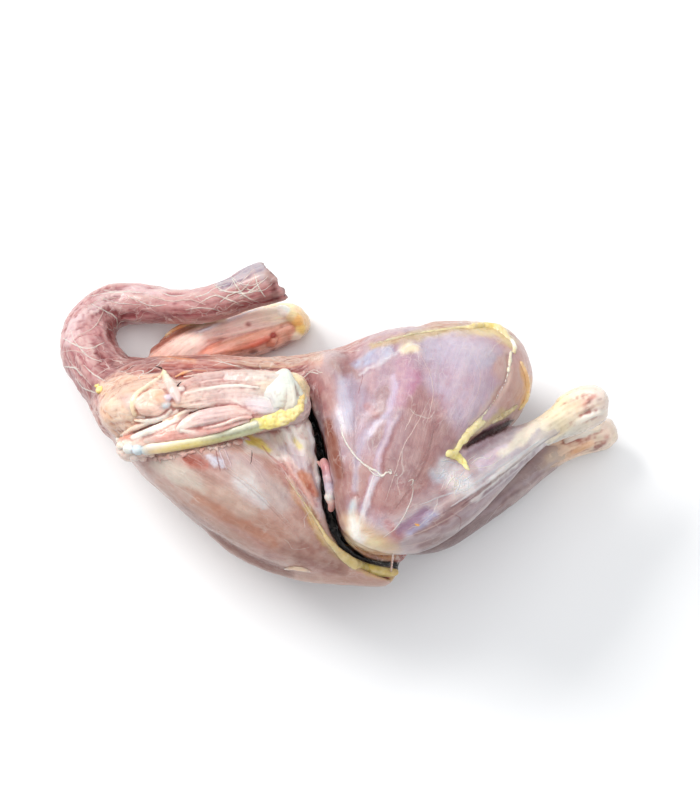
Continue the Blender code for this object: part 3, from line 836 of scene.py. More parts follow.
# thigh, both sides: a painted milky sheen, a reflection of the light, over pink on its top and front, with the flesh
# browner below
for side in ("upper", "lower"):
    k = 1.0 if side == "upper" else 0.55
    dab(colour(180, 140, 136), [(352, 480, 14), (392, 486, 24), (420, 462, 16), (426, 436, 12)], 14, 0.92 * k, side)
    dab(colour(166, 132, 134), [(384, 440, 10), (404, 452, 12), (396, 474, 12), (410, 420, 10)], 10, 0.8 * k, side)
    dab(colour(174, 138, 138), [(418, 404, 14), (432, 430, 14), (446, 440, 12)], 14, 0.85 * k, side)
    dab(colour(208, 200, 212), [(432, 350, 10), (464, 354, 15), (490, 358, 8)], 12, 0.9 * k, side)
    dab(colour(206, 192, 204), [(448, 378, 18), (474, 390, 14), (462, 412, 9)], 13, 0.75 * k, side)
    dab(colour(180, 152, 150), [(340, 362, 8), (350, 378, 8)], 6, 0.8 * k, side)
    dab(colour(172, 144, 148), [(360, 396, 9), (372, 410, 9), (384, 394, 7)], 6, 0.85 * k, side)
    # painted bluish sheen down the front of the thigh (this line and the next)
    dab(colour(206, 206, 222), [(342, 386, 4), (343, 404, 6), (347, 424, 5)], 10, 0.7 * k, side)
    dab(colour(200, 192, 206), [(352, 386, 6), (362, 400, 7), (366, 412, 3)], 7, 0.7 * k, side)
    dab(colour(140, 84, 72), [(326, 424, 3), (331, 440, 5), (334, 458, 6), (337, 472, 5)], 4, 0.9 * k, side)
    dab(colour(160, 116, 110), [(336, 486, 5), (340, 504, 5), (344, 524, 4)], 5, 0.8 * k, side)
    dab(colour(196, 198, 216), [(358, 366, 3), (372, 358, 6), (388, 350, 4)], 4, 0.9 * k, side)
    dab(colour(232, 232, 236), [(361, 375, 0.6), (380, 363.5, 0.8), (397, 350.5, 0.8)], 1.6, 0.7 * k, side)
    # a pale-yellow painted highlight on the knob at the top of the thigh
    dab(colour(240, 228, 204), [(402, 350, 2), (408, 347, 4), (415, 347, 2)], 4, 0.9 * k, side)
    dab(colour(190, 142, 164), [(414, 372, 2), (415, 382, 3), (411, 392, 2)], 5, 0.75 * k, side)
    dab(colour(206, 170, 186), [(404, 360, 5), (404, 384, 6), (398, 402, 4)], 6, 0.6 * k, side)
    dab(colour(216, 202, 220), [(394, 378, 2), (391, 400, 2.5), (386, 414, 2)], 2.5, 0.75 * k, side)
    dab(colour(206, 202, 218), [(388, 416, 2), (373, 428, 3), (363, 443, 3), (357, 460, 2), (353, 490, 2)], 3.5, 0.6 * k, side)
    dab(colour(206, 192, 212), [(392, 422, 2), (384, 444, 2.5), (377, 464, 2.5), (370, 488, 2), (362, 512, 2)], 2.5, 0.55 * k, side)
    # a pale line on the raised fold as painted highlight, and a darker line in the groove beside it as painted shade
    dab(colour(226, 222, 236), [(398, 415, 0.6), (389.5, 434, 0.8), (382.5, 451, 0.8), (377.5, 470, 0.8), (371, 492, 0.9), (364, 518, 1.0)], 2.0, 0.35 * k, side)
    dab(colour(168, 120, 120), [(402, 418, 0.6), (394, 436, 1.0), (387, 453, 1.0), (382, 472, 1.0), (376, 494, 0.8)], 1.8, 0.5 * k, side)
    dab(colour(182, 126, 124), [(366, 408, 3), (378, 416, 2)], 4, 0.5 * k, side)
    dab(colour(214, 182, 172), [(502, 366, 8), (513, 384, 10), (502, 402, 8)], 6, 0.8 * k, side)
    dab(colour(214, 166, 148), [(523, 364, 3), (526, 382, 3), (522, 398, 3)], 4, 0.6 * k, side)
    dab(colour(172, 146, 160), [(402, 528, 5), (416, 522, 6), (430, 512, 4)], 3.5, 0.85 * k, side)
    dab(colour(196, 190, 212), [(429, 514, 1.2), (420, 526, 2.2), (408, 535, 1.2)], 5, 0.6 * k, side)
    dab(colour(196, 136, 134), [(386, 524, 4), (396, 538, 3), (380, 540, 3)], 4, 0.55 * k, side)
    dab(colour(190, 140, 128), [(346, 546, 2), (372, 556, 2), (396, 558, 2)], 3, 0.7 * k, side)
    dab(colour(230, 190, 124), [(348, 541, 2), (360, 549, 2.5), (378, 553, 2)], 4, 0.9 * k, side)
    # sinew patch where thigh and drumstick meet
    dab(colour(238, 236, 238), [(444, 464, 4), (456, 476, 7), (468, 488, 5)], 7, 0.9 * k, side)
    dab(colour(216, 224, 232), [(434, 473, 2), (441, 479, 3)], 8, 0.65 * k, side)
    dab(colour(226, 218, 232), [(482, 464, 4), (494, 456, 5), (504, 450, 3)], 3, 0.8 * k, side)
    # shaft of the drumstick
    dab(colour(214, 208, 212), [(482, 482, 6), (510, 460, 7), (548, 432, 8)], 5, 0.85 * k, side)
    dab(colour(184, 160, 162), [(420, 500, 6), (436, 492, 6), (446, 502, 5)], 6, 0.8 * k, side)
    # darker along the drumstick's lower edge: painted shade
    dab(colour(160, 134, 138), [(440, 528, 4), (470, 514, 4), (496, 494, 3)], 4, 0.7 * k, side)
    dab(colour(250, 244, 232), [(500, 455, 2), (522, 440, 3.5), (545, 426, 5), (562, 414, 6)], 3, 0.85 * k, side)
    dab(colour(246, 242, 236), [(470, 497, 1.5), (500, 474, 1.8), (530, 450, 1.8), (552, 436, 1.2)], 2, 0.7 * k, side)
    # more painted shade along the drumstick's lower edge (this line and the next)
    dab(colour(152, 120, 120), [(416, 530, 5), (440, 520, 6), (464, 504, 4)], 4, 0.85 * k, side)
    dab(colour(150, 126, 132), [(470, 508, 2.5), (505, 478, 2.5), (535, 456, 2)], 2.5, 0.7 * k, side)
    dab(colour(186, 168, 172), [(408, 544, 3), (430, 538, 2.5), (450, 524, 2)], 2.5, 0.5 * k, side)
    # the white cap and tendons of the knee
    dab(colour(250, 236, 200), [(352, 540, 4), (364, 545, 4), (380, 547, 3)], 10, 0.7 * k, side)
    dab(colour(252, 254, 246), [(352, 530, 4), (356, 537, 5), (363, 541, 3)], 6, 0.95 * k, side)
    dab(colour(244, 226, 180), [(346, 536, 3), (350, 543, 3)], 4, 0.9 * k, side)
    dab(colour(226, 240, 244), [(355, 530, 3), (353, 516, 2.0), (354, 502, 1)], 4, 0.8 * k, side)
    dab(colour(232, 234, 240), [(359, 530, 1.6), (365, 510, 1.4), (372, 488, 1.0), (378, 474, 0.6)], 3, 0.5 * k, side)
# folds of the drumstick: painted highlights on their ridges and painted shade between them
dab(colour(248, 240, 224), [(522, 438, 4), (540, 428, 8), (560, 414, 11)], 8, 0.85)
dab(colour(232, 212, 190), [(544, 464, 4), (562, 452, 8)], 7, 0.8)
for points, tone, r in (([(474, 500), (500, 478), (528, 454), (556, 436)], colour(244, 242, 240), 1.6), ([(486, 478), (512, 456), (540, 434)], colour(196, 190, 200), 1.4),
                        ([(470, 512), (500, 487), (524, 464)], colour(186, 172, 180), 1.6), ([(440, 512), (466, 498), (486, 484)], colour(176, 152, 156), 2.0),
                        ([(430, 530), (456, 518), (476, 503)], colour(196, 180, 184), 1.6)):
    dab(tone, [(*q, r) for q in points], 2.2, 0.75)
# far leg, where it shows below the near one: darkened with painted shade where it lies under the near leg
dab(colour(132, 104, 106), [(430, 550, 8), (480, 532, 8), (522, 500, 7)], 7, 0.85)
dab(colour(170, 150, 150), [(505, 494, 6), (540, 466, 6)], 6, 0.6)
dab(colour(214, 196, 186), [(560, 450, 5), (600, 438, 8)], 7, 0.8)
dab(colour(196, 182, 186), [(470, 520, 1.5), (500, 500, 1.5), (530, 478, 1.5), (556, 460, 1)], 2.2, 0.6)
dab(colour(206, 190, 190), [(496, 512, 1.5), (520, 496, 1.5), (546, 474, 1.5)], 2.2, 0.5)
# breast: a pale patch with a painted highlight, and painted shade along the lower edge
for side in ("upper", "lower"):
    k = 1.0 if side == "upper" else 0.7
    dab(colour(214, 196, 188), [(168, 466, 10), (215, 490, 16), (245, 505, 10)], 18, 0.6 * k, side)
    dab(colour(190, 150, 132), [(180, 474, 3), (230, 505, 5), (282, 536, 5)], 9, 0.5 * k, side)
    # a pale patch with a painted highlight in the middle of the breast
    dab(colour(210, 200, 198), [(236, 470, 10), (262, 488, 12), (282, 500, 8)], 12, 0.7 * k, side)
    dab(colour(190, 156, 144), [(300, 548, 14), (340, 560, 8)], 14, 0.55 * k, side)
    dab(colour(196, 158, 140), [(160, 490, 5), (205, 528, 7), (250, 556, 7)], 9, 0.5 * k, side)
    dab(colour(226, 210, 200), [(285, 432, 10), (297, 462, 10), (305, 492, 7)], 9, 0.75 * k, side)
    dab(colour(190, 134, 116), [(305, 488, 3), (313, 497, 2)], 4, 0.55 * k, side)
    dab(colour(240, 220, 140), [(248, 438, 3), (262, 440, 4), (270, 447, 4), (276, 455, 2)], 3, 0.85 * k, side)
    dab(colour(214, 186, 132), [(291, 482, 1.5), (304, 506, 2), (317, 530, 2.5), (334, 548, 4), (360, 563, 5), (392, 574, 5)], 4, 0.9 * k, side)
    dab(colour(176, 148, 84), [(340, 556, 1.5), (366, 569, 2), (390, 577, 2)], 3, 0.5 * k, side)
dab(colour(186, 142, 126), [(228, 520, 2), (250, 529, 3), (272, 543, 3)], 4, 0.7)
dab(colour(196, 152, 134), [(180, 482, 2), (206, 500, 4), (234, 522, 3)], 4, 0.6)
# painted highlight on the pale patch of the breast
dab(colour(214, 206, 204), [(230, 470, 5), (244, 484, 9), (262, 498, 5)], 5, 0.85)
dab(colour(206, 186, 186), [(222, 458, 4), (246, 462, 5), (262, 474, 5)], 5, 0.6)
dab(colour(216, 202, 190), [(166, 466, 4), (186, 478, 7), (204, 486, 5)], 5, 0.7)
# painted shade along the breast's lower edge (this line and the next)
dab(colour(164, 118, 106), [(300, 560, 4), (322, 566, 5), (342, 568, 3)], 5, 0.75)
dab(colour(176, 132, 122), [(270, 556, 4), (296, 548, 5), (318, 552, 4)], 6, 0.5)
dab(colour(190, 138, 122), [(306, 476, 2), (310, 486, 3.5), (315, 496, 2)], 2.5, 0.9)
# painted shade along the breast's lower edge
dab(colour(168, 122, 106), [(170, 502, 5), (206, 532, 6), (240, 556, 6), (280, 572, 6)], 6, 0.75)
dab(colour(160, 112, 106), [(190, 456, 4), (208, 461, 6), (226, 466, 5)], 5, 0.8)
# painted shadow under the near wing
dab(colour(172, 130, 120), [(196, 470, 5), (212, 478, 5), (226, 480, 4)], 7, 0.6)
dab(colour(250, 242, 236), [(246, 437, 6), (264, 440, 8), (284, 438, 10), (300, 432, 9), (304, 452, 8)], 6, 0.95)
dab(colour(232, 220, 226), [(286, 452, 8), (300, 468, 9), (312, 490, 6), (320, 512, 3)], 5, 0.9)
dab(colour(250, 248, 250), [(308, 430, 2), (313, 446, 2.5), (317, 462, 2), (320, 480, 2), (323, 500, 1.5)], 2.5, 0.85)
dab(colour(226, 178, 166), [(262, 444, 1.5), (276, 456, 2), (290, 470, 2), (302, 486, 1.5), (312, 504, 1)], 2, 0.85)
dab(colour(244, 222, 214), [(266, 441, 1), (280, 453, 1.4), (294, 467, 1.4), (306, 484, 1), (315, 502, 0.8)], 1.5, 0.8)
dab(colour(212, 150, 118), [(302, 474, 2), (308, 482, 4), (312, 492, 3)], 3, 0.9)
dab(colour(206, 168, 162), [(280, 464, 2), (292, 482, 2.5), (304, 504, 2)], 3, 0.6)
dab(colour(246, 232, 160), [(293, 438, 1.5), (298, 446, 2)], 3, 0.8)
dab(colour(246, 230, 140), [(248, 438, 2), (256, 441, 3), (264, 445, 2.5), (270, 452, 1.5)], 3, 0.9)
dab(colour(226, 216, 206), [(158, 464, 4), (176, 474, 7), (196, 480, 6)], 6, 0.8)
dab(colour(204, 158, 138), [(196, 500, 3), (222, 514, 4), (250, 530, 4), (276, 548, 3)], 5, 0.75)
# painted highlight on the pale patch of the breast
dab(colour(226, 220, 218), [(232, 466, 4), (246, 480, 8), (258, 494, 6), (264, 506, 3)], 4, 0.85)
dab(colour(214, 192, 180), [(210, 484, 5), (226, 498, 5), (250, 512, 4)], 6, 0.6)
# painted shade along the breast's lower edge
dab(colour(156, 110, 98), [(182, 508, 3), (210, 536, 4), (244, 560, 4), (290, 574, 4)], 5, 0.75)
# shoulder
dab(colour(250, 226, 202), [(108, 396, 8), (114, 410, 10), (124, 424, 10), (128, 434, 6)], 6, 0.92)
dab(colour(234, 192, 160), [(104, 410, 3), (110, 424, 4), (118, 436, 3)], 5, 0.7)
dab(colour(238, 214, 200), [(150, 402, 16)], 8, 0.7)
dab(colour(240, 214, 150), [(99, 390, 3)], 3, 0.9)
# back
dab(colour(214, 176, 166), [(160, 356, 5), (230, 362, 5), (300, 362, 5)], 6, 0.5)
dab(colour(204, 132, 108), [(200, 374, 3), (240, 372, 4), (280, 378, 3)], 6, 0.5)
dab(colour(180, 108, 100), [(165, 370, 3), (190, 378, 3)], 5, 0.5)
dab(colour(176, 120, 116), [(306, 372, 6), (312, 396, 5)], 8, 0.5)
# rear edge and top edge fat
for side in ("upper", "lower"):
    k = 1.0 if side == "upper" else 0.4
    dab(colour(214, 196, 140), [(372, 345, 2), (420, 334, 3), (470, 329, 4)], 5, 0.6 * k, side)
    dab(colour(240, 222, 168), [(478, 328, 5), (498, 330, 6), (512, 342, 4)], 6, 0.85 * k, side)
    dab(colour(232, 212, 200), [(508, 352, 2), (506, 378, 2), (494, 402, 2), (474, 424, 3)], 4, 0.55 * k, side)
    dab(colour(236, 190, 130), [(524, 370, 3), (527, 386, 3), (522, 404, 3)], 4, 0.85 * k, side)
    dab(colour(214, 196, 140), [(506, 412, 3), (482, 430, 3), (460, 446, 3)], 4, 0.7 * k, side)
# neck: painted shade along its edges and in the inner bend, and a painted highlight along its top edge
dab(colour(206, 164, 164), [(85, 330, 6), (110, 302, 5), (160, 300, 4)], 8, 0.4)
dab(colour(170, 112, 116), [(95, 360, 5), (110, 330, 5), (140, 318, 4), (200, 318, 3)], 7, 0.55)
dab(colour(176, 116, 118), [(225, 305, 6), (262, 300, 7)], 8, 0.5)
dab(colour(156, 154, 172), [(222, 284, 3), (236, 279, 4), (252, 270, 5), (262, 268, 5)], 4, 0.8)
dab(colour(150, 146, 166), [(258, 272, 5), (262, 278, 3)], 3, 0.6)
dab(colour(206, 156, 146), [(100, 396, 6), (80, 400, 6)], 8, 0.4)
dab(colour(152, 86, 88), [(114, 332, 5), (108, 348, 9), (108, 368, 9), (116, 386, 6)], 8, 0.78)
dab(colour(168, 104, 108), [(64, 352, 6), (74, 372, 8), (88, 392, 8)], 8, 0.8)
dab(colour(156, 100, 96), [(86, 396, 5), (96, 388, 4)], 6, 0.7)
dab(colour(172, 104, 108), [(124, 320, 2), (160, 319, 2), (204, 317, 2)], 5, 0.5)
dab(colour(160, 92, 96), [(232, 308, 3), (256, 306, 3), (270, 304, 3)], 5, 0.7)
dab(colour(116, 52, 58), [(268, 276, 2), (273, 288, 3), (276, 300, 4)], 4, 0.85)
dab(colour(134, 66, 72), [(262, 298, 3), (270, 302, 4)], 4, 0.6)
# a painted highlight along the top edge of the neck
dab(colour(236, 214, 216), [(66, 340, 3), (80, 320, 4), (98, 304, 4), (126, 292, 3), (160, 291, 2)], 5, 0.75)
dab(colour(188, 124, 114), [(126, 366, 8), (160, 362, 7), (200, 366, 8), (240, 370, 6)], 6, 0.8)
dab(colour(150, 88, 84), [(118, 362, 6), (134, 360, 6), (156, 364, 4)], 6, 0.7)
dab(colour(222, 178, 164), [(214, 358, 4), (250, 358, 5), (290, 360, 6), (318, 358, 5)], 6, 0.8)
dab(colour(226, 168, 132), [(150, 356, 1.5), (176, 358, 2), (196, 360, 1.5)], 3, 0.7)
# painted shade along the groove where the near wing meets the back
dab(colour(170, 98, 92), [(190, 377, 2), (230, 371, 2.5), (268, 370, 2.5), (296, 374, 2)], 3, 0.7)
dab(colour(178, 132, 130), [(300, 372, 8), (322, 384, 8), (326, 410, 6)], 10, 0.75)
dab(colour(214, 190, 172), [(240, 363, 2), (280, 361, 3), (318, 356, 3)], 4, 0.6)
dab(colour(194, 106, 84), [(184, 457, 2), (195, 461, 5), (207, 464, 3)], 4, 0.8)
dab(colour(196, 176, 178), [(222, 452, 4), (228, 464, 5)], 5, 0.6)
dab(colour(214, 176, 168), [(262, 448, 3), (276, 458, 3), (290, 470, 3)], 4, 0.6)
dab(colour(196, 128, 104), [(311, 486, 2), (314, 494, 3)], 3, 0.9)
# far wing
dab(colour(196, 108, 80), [(232, 346, 3), (262, 344, 4), (284, 336, 4)], 5, 0.7)
dab(colour(232, 210, 160), [(288, 318, 8), (297, 328, 6)], 6, 0.85)
dab(colour(160, 112, 98), [(160, 346, 6), (190, 338, 6)], 6, 0.7)
dab(colour(168, 40, 36), [(248, 324, 0.8)], 1.5, 0.9, warped=False)

# fibres and marbling
paint(WHITE, (0.05 + 0.20 * neck + 0.2 * wing + 0.12 * trunk) * step(STREAKS, 0.15, 0.9))
paint(colour(150, 92, 90), (0.07 + 0.20 * neck + 0.18 * trunk) * step(-STREAKS, 0.2, 0.95))
veil = lumps(np.stack([FIBRE[:, 0] * 0.25, FIBRE[:, 1], FIBRE[:, 2]], 1), 5.0, 3, 21)
paint(PALE, 0.22 * step(veil, 0.1, 0.8))
paint(ROSE, 0.16 * step(-veil, 0.2, 0.8))
red = lumps(P, 4.0, 2, 33)
paint(colour(176, 84, 76), 0.35 * step(red, 0.72, 1.05) * (trunk + 0.6 * neck + 0.4 * wing))
paint(colour(150, 84, 66), drawn([(328, 424, 2), (333, 444, 3), (336, 462, 3)], 3) * 0.7)
# the gap is bloody at its rim, and painted near-black further in as shade
depth = -coarse.sample(P) - np.maximum(-lift * hold, 0)
opening = step(-gap_distance(P[:, 0], P[:, 1]), -3.0, -1.0)
paint(colour(140, 52, 48), opening * step(depth, 0.5, 1.6) * 0.9)
paint(colour(60, 10, 10), opening * step(depth, 1.5, 3.2))
paint(colour(12, 2, 2), opening * step(depth, 3.0, 6.0))
# painted shade: the trunk's down-facing skin in the hidden hollow between the legs is darkened
down_facing_shade = step(-N[:, 2], 0.0, 0.6) * step(P[:, 2], 8, 20)
paint(colour(186, 132, 124), 0.35 * down_facing_shade * trunk)

# the cut end of the neck: dark muscle, deepened with painted shade, round a pale bone
centre = plan(*NECK_CUT[0], 41.0)
away = plan(*NECK_CUT[1], 41.0) - centre
away /= np.linalg.norm(away)
face_on = step(N @ away, 0.55, 0.8) * step(-np.abs((P - centre) @ away), -2.2, -0.8) * (P[:, 2] > 28)
axis = P - centre
axis = axis - (axis @ away)[:, None] * away
ring = np.linalg.norm(axis * [1, 1, 1.0], axis=1) + lumps(P, 3.0, 2, 61) * 0.8
paint(colour(112, 40, 46), face_on * 0.9)
paint(colour(96, 26, 30), face_on * step(lumps(P, 2.6, 2, 62), -0.1, 0.7) * 0.8)
paint(colour(222, 190, 178), face_on * step(-np.abs(ring - 2.6), -1.0, -0.2) * 0.9)
paint(colour(120, 60, 60), face_on * step(-ring, -1.6, -1.0))

# last accents, over the veil
# painted shadow of the near leg on the far leg: a dark band along its outline and a paler one further out
near_leg = line_distance(UV, [(u, v, w - 1.5) for u, v, _, w, _ in MUSCLES["drumstick_left"][1]])
far_leg = weight("drumstick_right", "thigh_right_middle", "thigh_right_back") * UPPER
paint(colour(66, 36, 40), far_leg * step(-near_leg, -3.5, -0.5) * 0.8 * step(-UV[:, 0], -556, -520))
paint(colour(150, 122, 124), far_leg * step(-near_leg, -14.0, -4.0) * step(near_leg, 1.0, 4.0) * 0.35)
accents = (
    # knee: a milky cap with yellow and an orange rim
    (colour(238, 212, 176), [(352, 520, 5), (362, 536, 9), (376, 544, 7), (390, 549, 3)], 11, 0.7),
    (colour(252, 240, 206), [(352, 536, 3), (362, 543, 5), (374, 546, 3)], 6, 0.75),
    (colour(255, 255, 252), [(353, 520, 2), (356, 532, 4), (363, 539, 3)], 6, 0.85),
    (colour(230, 172, 116), [(356, 548.5, 0.8), (372, 553, 1.2), (390, 555.5, 1)], 3, 0.6),
    # a mauve bruise with a blue edge
    (colour(180, 118, 118), [(392, 532, 2), (400, 536, 2)], 4, 0.6),
    (colour(172, 144, 164), [(400, 531, 3), (413, 524, 5), (427, 512, 3)], 5, 0.75),
    (colour(196, 196, 220), [(434, 512, 1), (425, 523, 1.6), (410, 534, 0.8)], 3.4, 0.7),
    # lens of pale sinew beside the red hollow below the wing
    (colour(222, 222, 232), [(210, 455, 1.2), (216, 461, 2), (222, 468, 1)], 2, 0.85),
    (colour(150, 74, 58), [(186, 457, 2), (196, 460, 4), (204, 462, 2)], 4, 0.75),
    # painted milky blue sheen on the front of the thigh, brown flank beside the gap
    (colour(216, 214, 226), [(342, 392, 3), (344, 408, 4), (348, 424, 3)], 8, 0.35),
    (colour(150, 92, 76), [(327, 428, 2), (332, 444, 3), (336, 462, 3), (337, 474, 2)], 3, 0.75),
    # a pale-yellow painted highlight on the knob at the top of the thigh
    (colour(246, 238, 214), [(404, 349, 2), (411, 346, 3), (416, 348, 2)], 3, 0.8),
    (colour(176, 120, 116), [(120, 352, 3), (112, 344, 4)], 6, 0.5),
    (colour(234, 204, 182), [(104, 388, 6), (122, 385, 8), (142, 383, 8), (156, 381, 5)], 5, 0.9),
    (colour(252, 246, 240), [(250, 448, 4), (266, 451, 6), (282, 458, 5)], 6, 0.65),
    (colour(248, 232, 150), [(249, 440, 2), (260, 443, 2.6), (269, 450, 2)], 3, 0.8),
    # painted shadow under the near wing
    (colour(188, 156, 146), [(204, 472, 4), (222, 476, 5), (240, 470, 4)], 9, 0.45),
    # a dark line of painted shade in the groove beside the fat seam
    (colour(96, 44, 40), [(466, 448, 0.8), (478, 441, 1.6), (494, 433, 2), (512, 423, 1.4)], 2, 0.85),
    (colour(236, 196, 176), [(118, 379, 1), (138, 377, 1.2), (150, 376, 1)], 2.5, 0.7),
)
for tone, line, soft, strength in accents:
    dab(tone, line, soft, strength)
# painted shade: the lower end of the gap is painted black
paint(colour(14, 3, 3), drawn([(354, 552, 0.6), (366, 558.5, 1.6), (380, 563, 2.6), (395, 565.5, 3.2), (408, 567.5, 4.8)], 1.4, warped=False) * 0.97)

# painted shade in the hollows, redder and darker, and a painted highlight on the ridges
EDGES = np.concatenate([quads[:, [k, (k + 1) % 4]] for k in range(4)])
SHARE = 1.0 / np.maximum(np.bincount(EDGES[:, 0], minlength=len(P)), 1)


def relaxed(A, times):
    for _ in range(times):
        A = 0.4 * A + 0.6 * np.stack([np.bincount(EDGES[:, 0], weights=A[EDGES[:, 1], k], minlength=len(P)) for k in range(A.shape[1])], 1) * SHARE[:, None]
    return A


hollow = np.clip(((relaxed(P, 4) - P) * N).sum(1) / 0.06, -1.2, 1.6)
wide_hollow = np.clip(((relaxed(P, 40) - P) * N).sum(1) / 0.55, -1.0, 1.8)
hollow_shade = (np.clip(hollow, 0, 2) * 0.20 + np.clip(wide_hollow, 0, 2) * 0.30) * (1 - 0.55 * np.clip(leg + breast, 0, 1))
hollow_shade *= 1 - 0.85 * drawn([(236, 440, 6), (266, 446, 10), (298, 452, 13), (312, 484, 6)], 6)
hollow_shade *= 1 - drawn([(382, 561.5, 3), (408, 567, 6)], 2)
high = (np.clip(-hollow, 0, 1) * 0.16 + np.clip(-wide_hollow, 0, 1) * 0.06) * (1 - drawn([(366, 558, 2), (382, 561.5, 3), (408, 567, 6)], 2))
C = C * (1 - np.clip(hollow_shade, 0, 0.62)[:, None] * np.array([0.62, 1.0, 0.98]))
C = C * (1 - high[:, None]) + colour(240, 222, 212) * high[:, None]

BVH = BVHTree.FromPolygons([tuple(p) for p in P], [tuple(int(i) for i in q) for q in quads])


def hit(u, v, side="upper"):
    """Place and normal on the skin at a drawing square, from above or from below."""
    ray = -BACK + RIGHT * ((u - 350.0) / FOCUS) - UP * ((v - 400.0) / FOCUS)
    if side == "upper":
        place, normal, _, _ = BVH.ray_cast(Vector(EYE), Vector(ray).normalized())
    else:
        start = EYE + ray * ((-30.0 - EYE[2]) / ray[2])
        place, normal, _, _ = BVH.ray_cast(Vector(start), Vector(-ray).normalized())
    if place is None:
        return None
    return np.array(place), np.array(normal)


def lay(points, side="upper", every=1.2, lift=0.0):
    """A line on the skin through drawing squares: places, normals, and the drawn third value."""
    line = np.array([(*p, 1.0) if len(p) == 2 else p for p in points], float)
    line = spline(line, 8) if len(line) > 2 else line
    seg = np.hypot(*(line[1:, :2] - line[:-1, :2]).T)
    run = np.concatenate([[0], np.cumsum(seg)])
    n = max(3, int(run[-1] / every))
    at = np.linspace(0, run[-1], n)
    line = np.stack([np.interp(at, run, line[:, k]) for k in range(3)], 1)
    places, normals, values = [], [], []
    for u, v, w in line:
        found = hit(u, v, side)
        if found is None:
            continue
        places.append(found[0] + found[1] * lift)
        normals.append(found[1])
        values.append(w)
    return np.array(places), np.array(normals), np.array(values)


def ease_line(A, times=2):
    A = A.copy()
    for _ in range(times):
        if len(A) > 2:
            A[1:-1] = 0.25 * A[:-2] + 0.5 * A[1:-1] + 0.25 * A[2:]
    return A


class Ink:
    """Fine lines on the skin, held at its points as offset from the line, amount and width."""

    def __init__(self, P, N, reach=2.3):
        self.P, self.N, self.reach = P, N, reach
        self.line = np.zeros((CHANNELS, len(P), 3), np.float32)
        self.line[:, :, 0] = 9.0
        self.tone = np.zeros((CHANNELS, len(P), 4), np.float32)
        self.far = np.full((CHANNELS, len(P)), 9.0)

    def draw(self, places, normals, width, tone, strength=1.0, relief=1.0):
        width = np.broadcast_to(width, len(places)).astype(float)
        r = self.reach + width.max()
        near = np.flatnonzero(((self.P > places.min(0) - r) & (self.P < places.max(0) + r)).all(1))
        if len(near) == 0:
            return
        Q, M = self.P[near], self.N[near]
        best = np.full(len(near), 99.0)
        off, wid, gone, facing = (np.zeros(len(near)) for _ in range(4))
        for i in range(len(places) - 1):
            a, d = places[i], places[i + 1] - places[i]
            length = np.linalg.norm(d)
            if length < 1e-6:
                continue
            d = d / length
            up = normals[i] + normals[i + 1]
            s = np.cross(d, up)
            s /= max(np.linalg.norm(s), 1e-9)
            along = (Q - a) @ d
            t = np.clip(along, 0, length)
            away = Q - a - t[:, None] * d
            dist = np.linalg.norm(away, axis=1)
            better = dist < best
            best[better] = dist[better]
            off[better] = (away @ s)[better]
            wid[better] = (width[i] + (width[i + 1] - width[i]) * t / length)[better]
            over = np.zeros(len(near))
            if i == 0:
                over = np.maximum(-along, 0)
            if i == len(places) - 2:
                over = np.maximum(along - length, over)
            gone[better] = over[better]
            facing[better] = (M @ (up / max(np.linalg.norm(up), 1e-9)))[better]
        amount = strength * (1 - step(gone, 0.0, 1.1)) * (1 - step(best, r * 0.6, r)) * step(facing, 0.0, 0.3)
        use = amount > 0.01
        clash = (self.far[:, near[use]] < 9.0).sum(1)
        k = int(clash.argmin())
        use &= best < self.far[k, near]
        at = near[use]
        self.line[k, at] = np.stack([off, amount, wid], 1)[use]
        self.tone[k, at, :3] = deepen(np.asarray(tone)[None])[0]
        self.tone[k, at, 3] = relief
        self.far[k, at] = best[use]


ink = Ink(P, N)


def stroke(points, width=0.3, tone=WHITE, strength=0.85, relief=1.0, side="upper", every=2.4, wiggle=0.0, seed=0):
    """A line on the skin through drawing squares; a third value scales its width."""
    if wiggle:
        rng = np.random.default_rng(seed + 900)
        points = [(p[0] + rng.normal(0, wiggle), p[1] + rng.normal(0, wiggle), *p[2:]) for p in points]
    places, normals, w = lay(points, side, every, 0.0)
    if len(places) > 2:
        t = np.linspace(0, 1, len(places))
        ink.draw(places, normals, width * w * (0.45 + 0.55 * np.sin(np.pi * np.clip(t, 0.05, 0.95)) ** 0.6), tone, strength, relief)


def creep(start, heading, length, width, tone, strength, relief, seed, pull=0.5):
    """A seeded thread that creeps over the skin from one of its points, roughly along heading."""
    rng = np.random.default_rng(seed)
    place, normal = np.array(start, float), None
    places, normals = [], []
    way = np.array(heading, float)
    for _ in range(max(4, int(length / 1.5))):
        near, normal, _, _ = BVH.find_nearest(Vector(place))
        if near is None:
            return
        place, normal = np.array(near), np.array(normal)
        places.append(place)
        normals.append(normal)
        way = way + rng.normal(0, 0.28, 3)
        way = way - (way @ normal) * normal
        way /= max(np.linalg.norm(way), 1e-9)
        place = place + way * 1.5
    if len(places) > 3:
        ink.draw(np.array(places), np.array(normals), width, tone, strength, relief)


class Heap:
    """Closed shapes gathered into one mesh piece."""

    def __init__(self):
        self.P, self.F, self.C, self.G, self.count = [], [], [], [], 0

    def add(self, P, F, C, G=None):
        self.P.append(P)
        self.F.append(np.asarray(F) + self.count)
        self.C.append(np.broadcast_to(C, (len(P), 3)))
        self.G.append(P if G is None else G)
        self.count += len(P)

    def piece(self, name, material):
        if not self.P:
            return None
        return mesh_piece(name, np.concatenate(self.P), np.concatenate(self.F), np.concatenate(self.C),
                          np.concatenate(self.G), material)


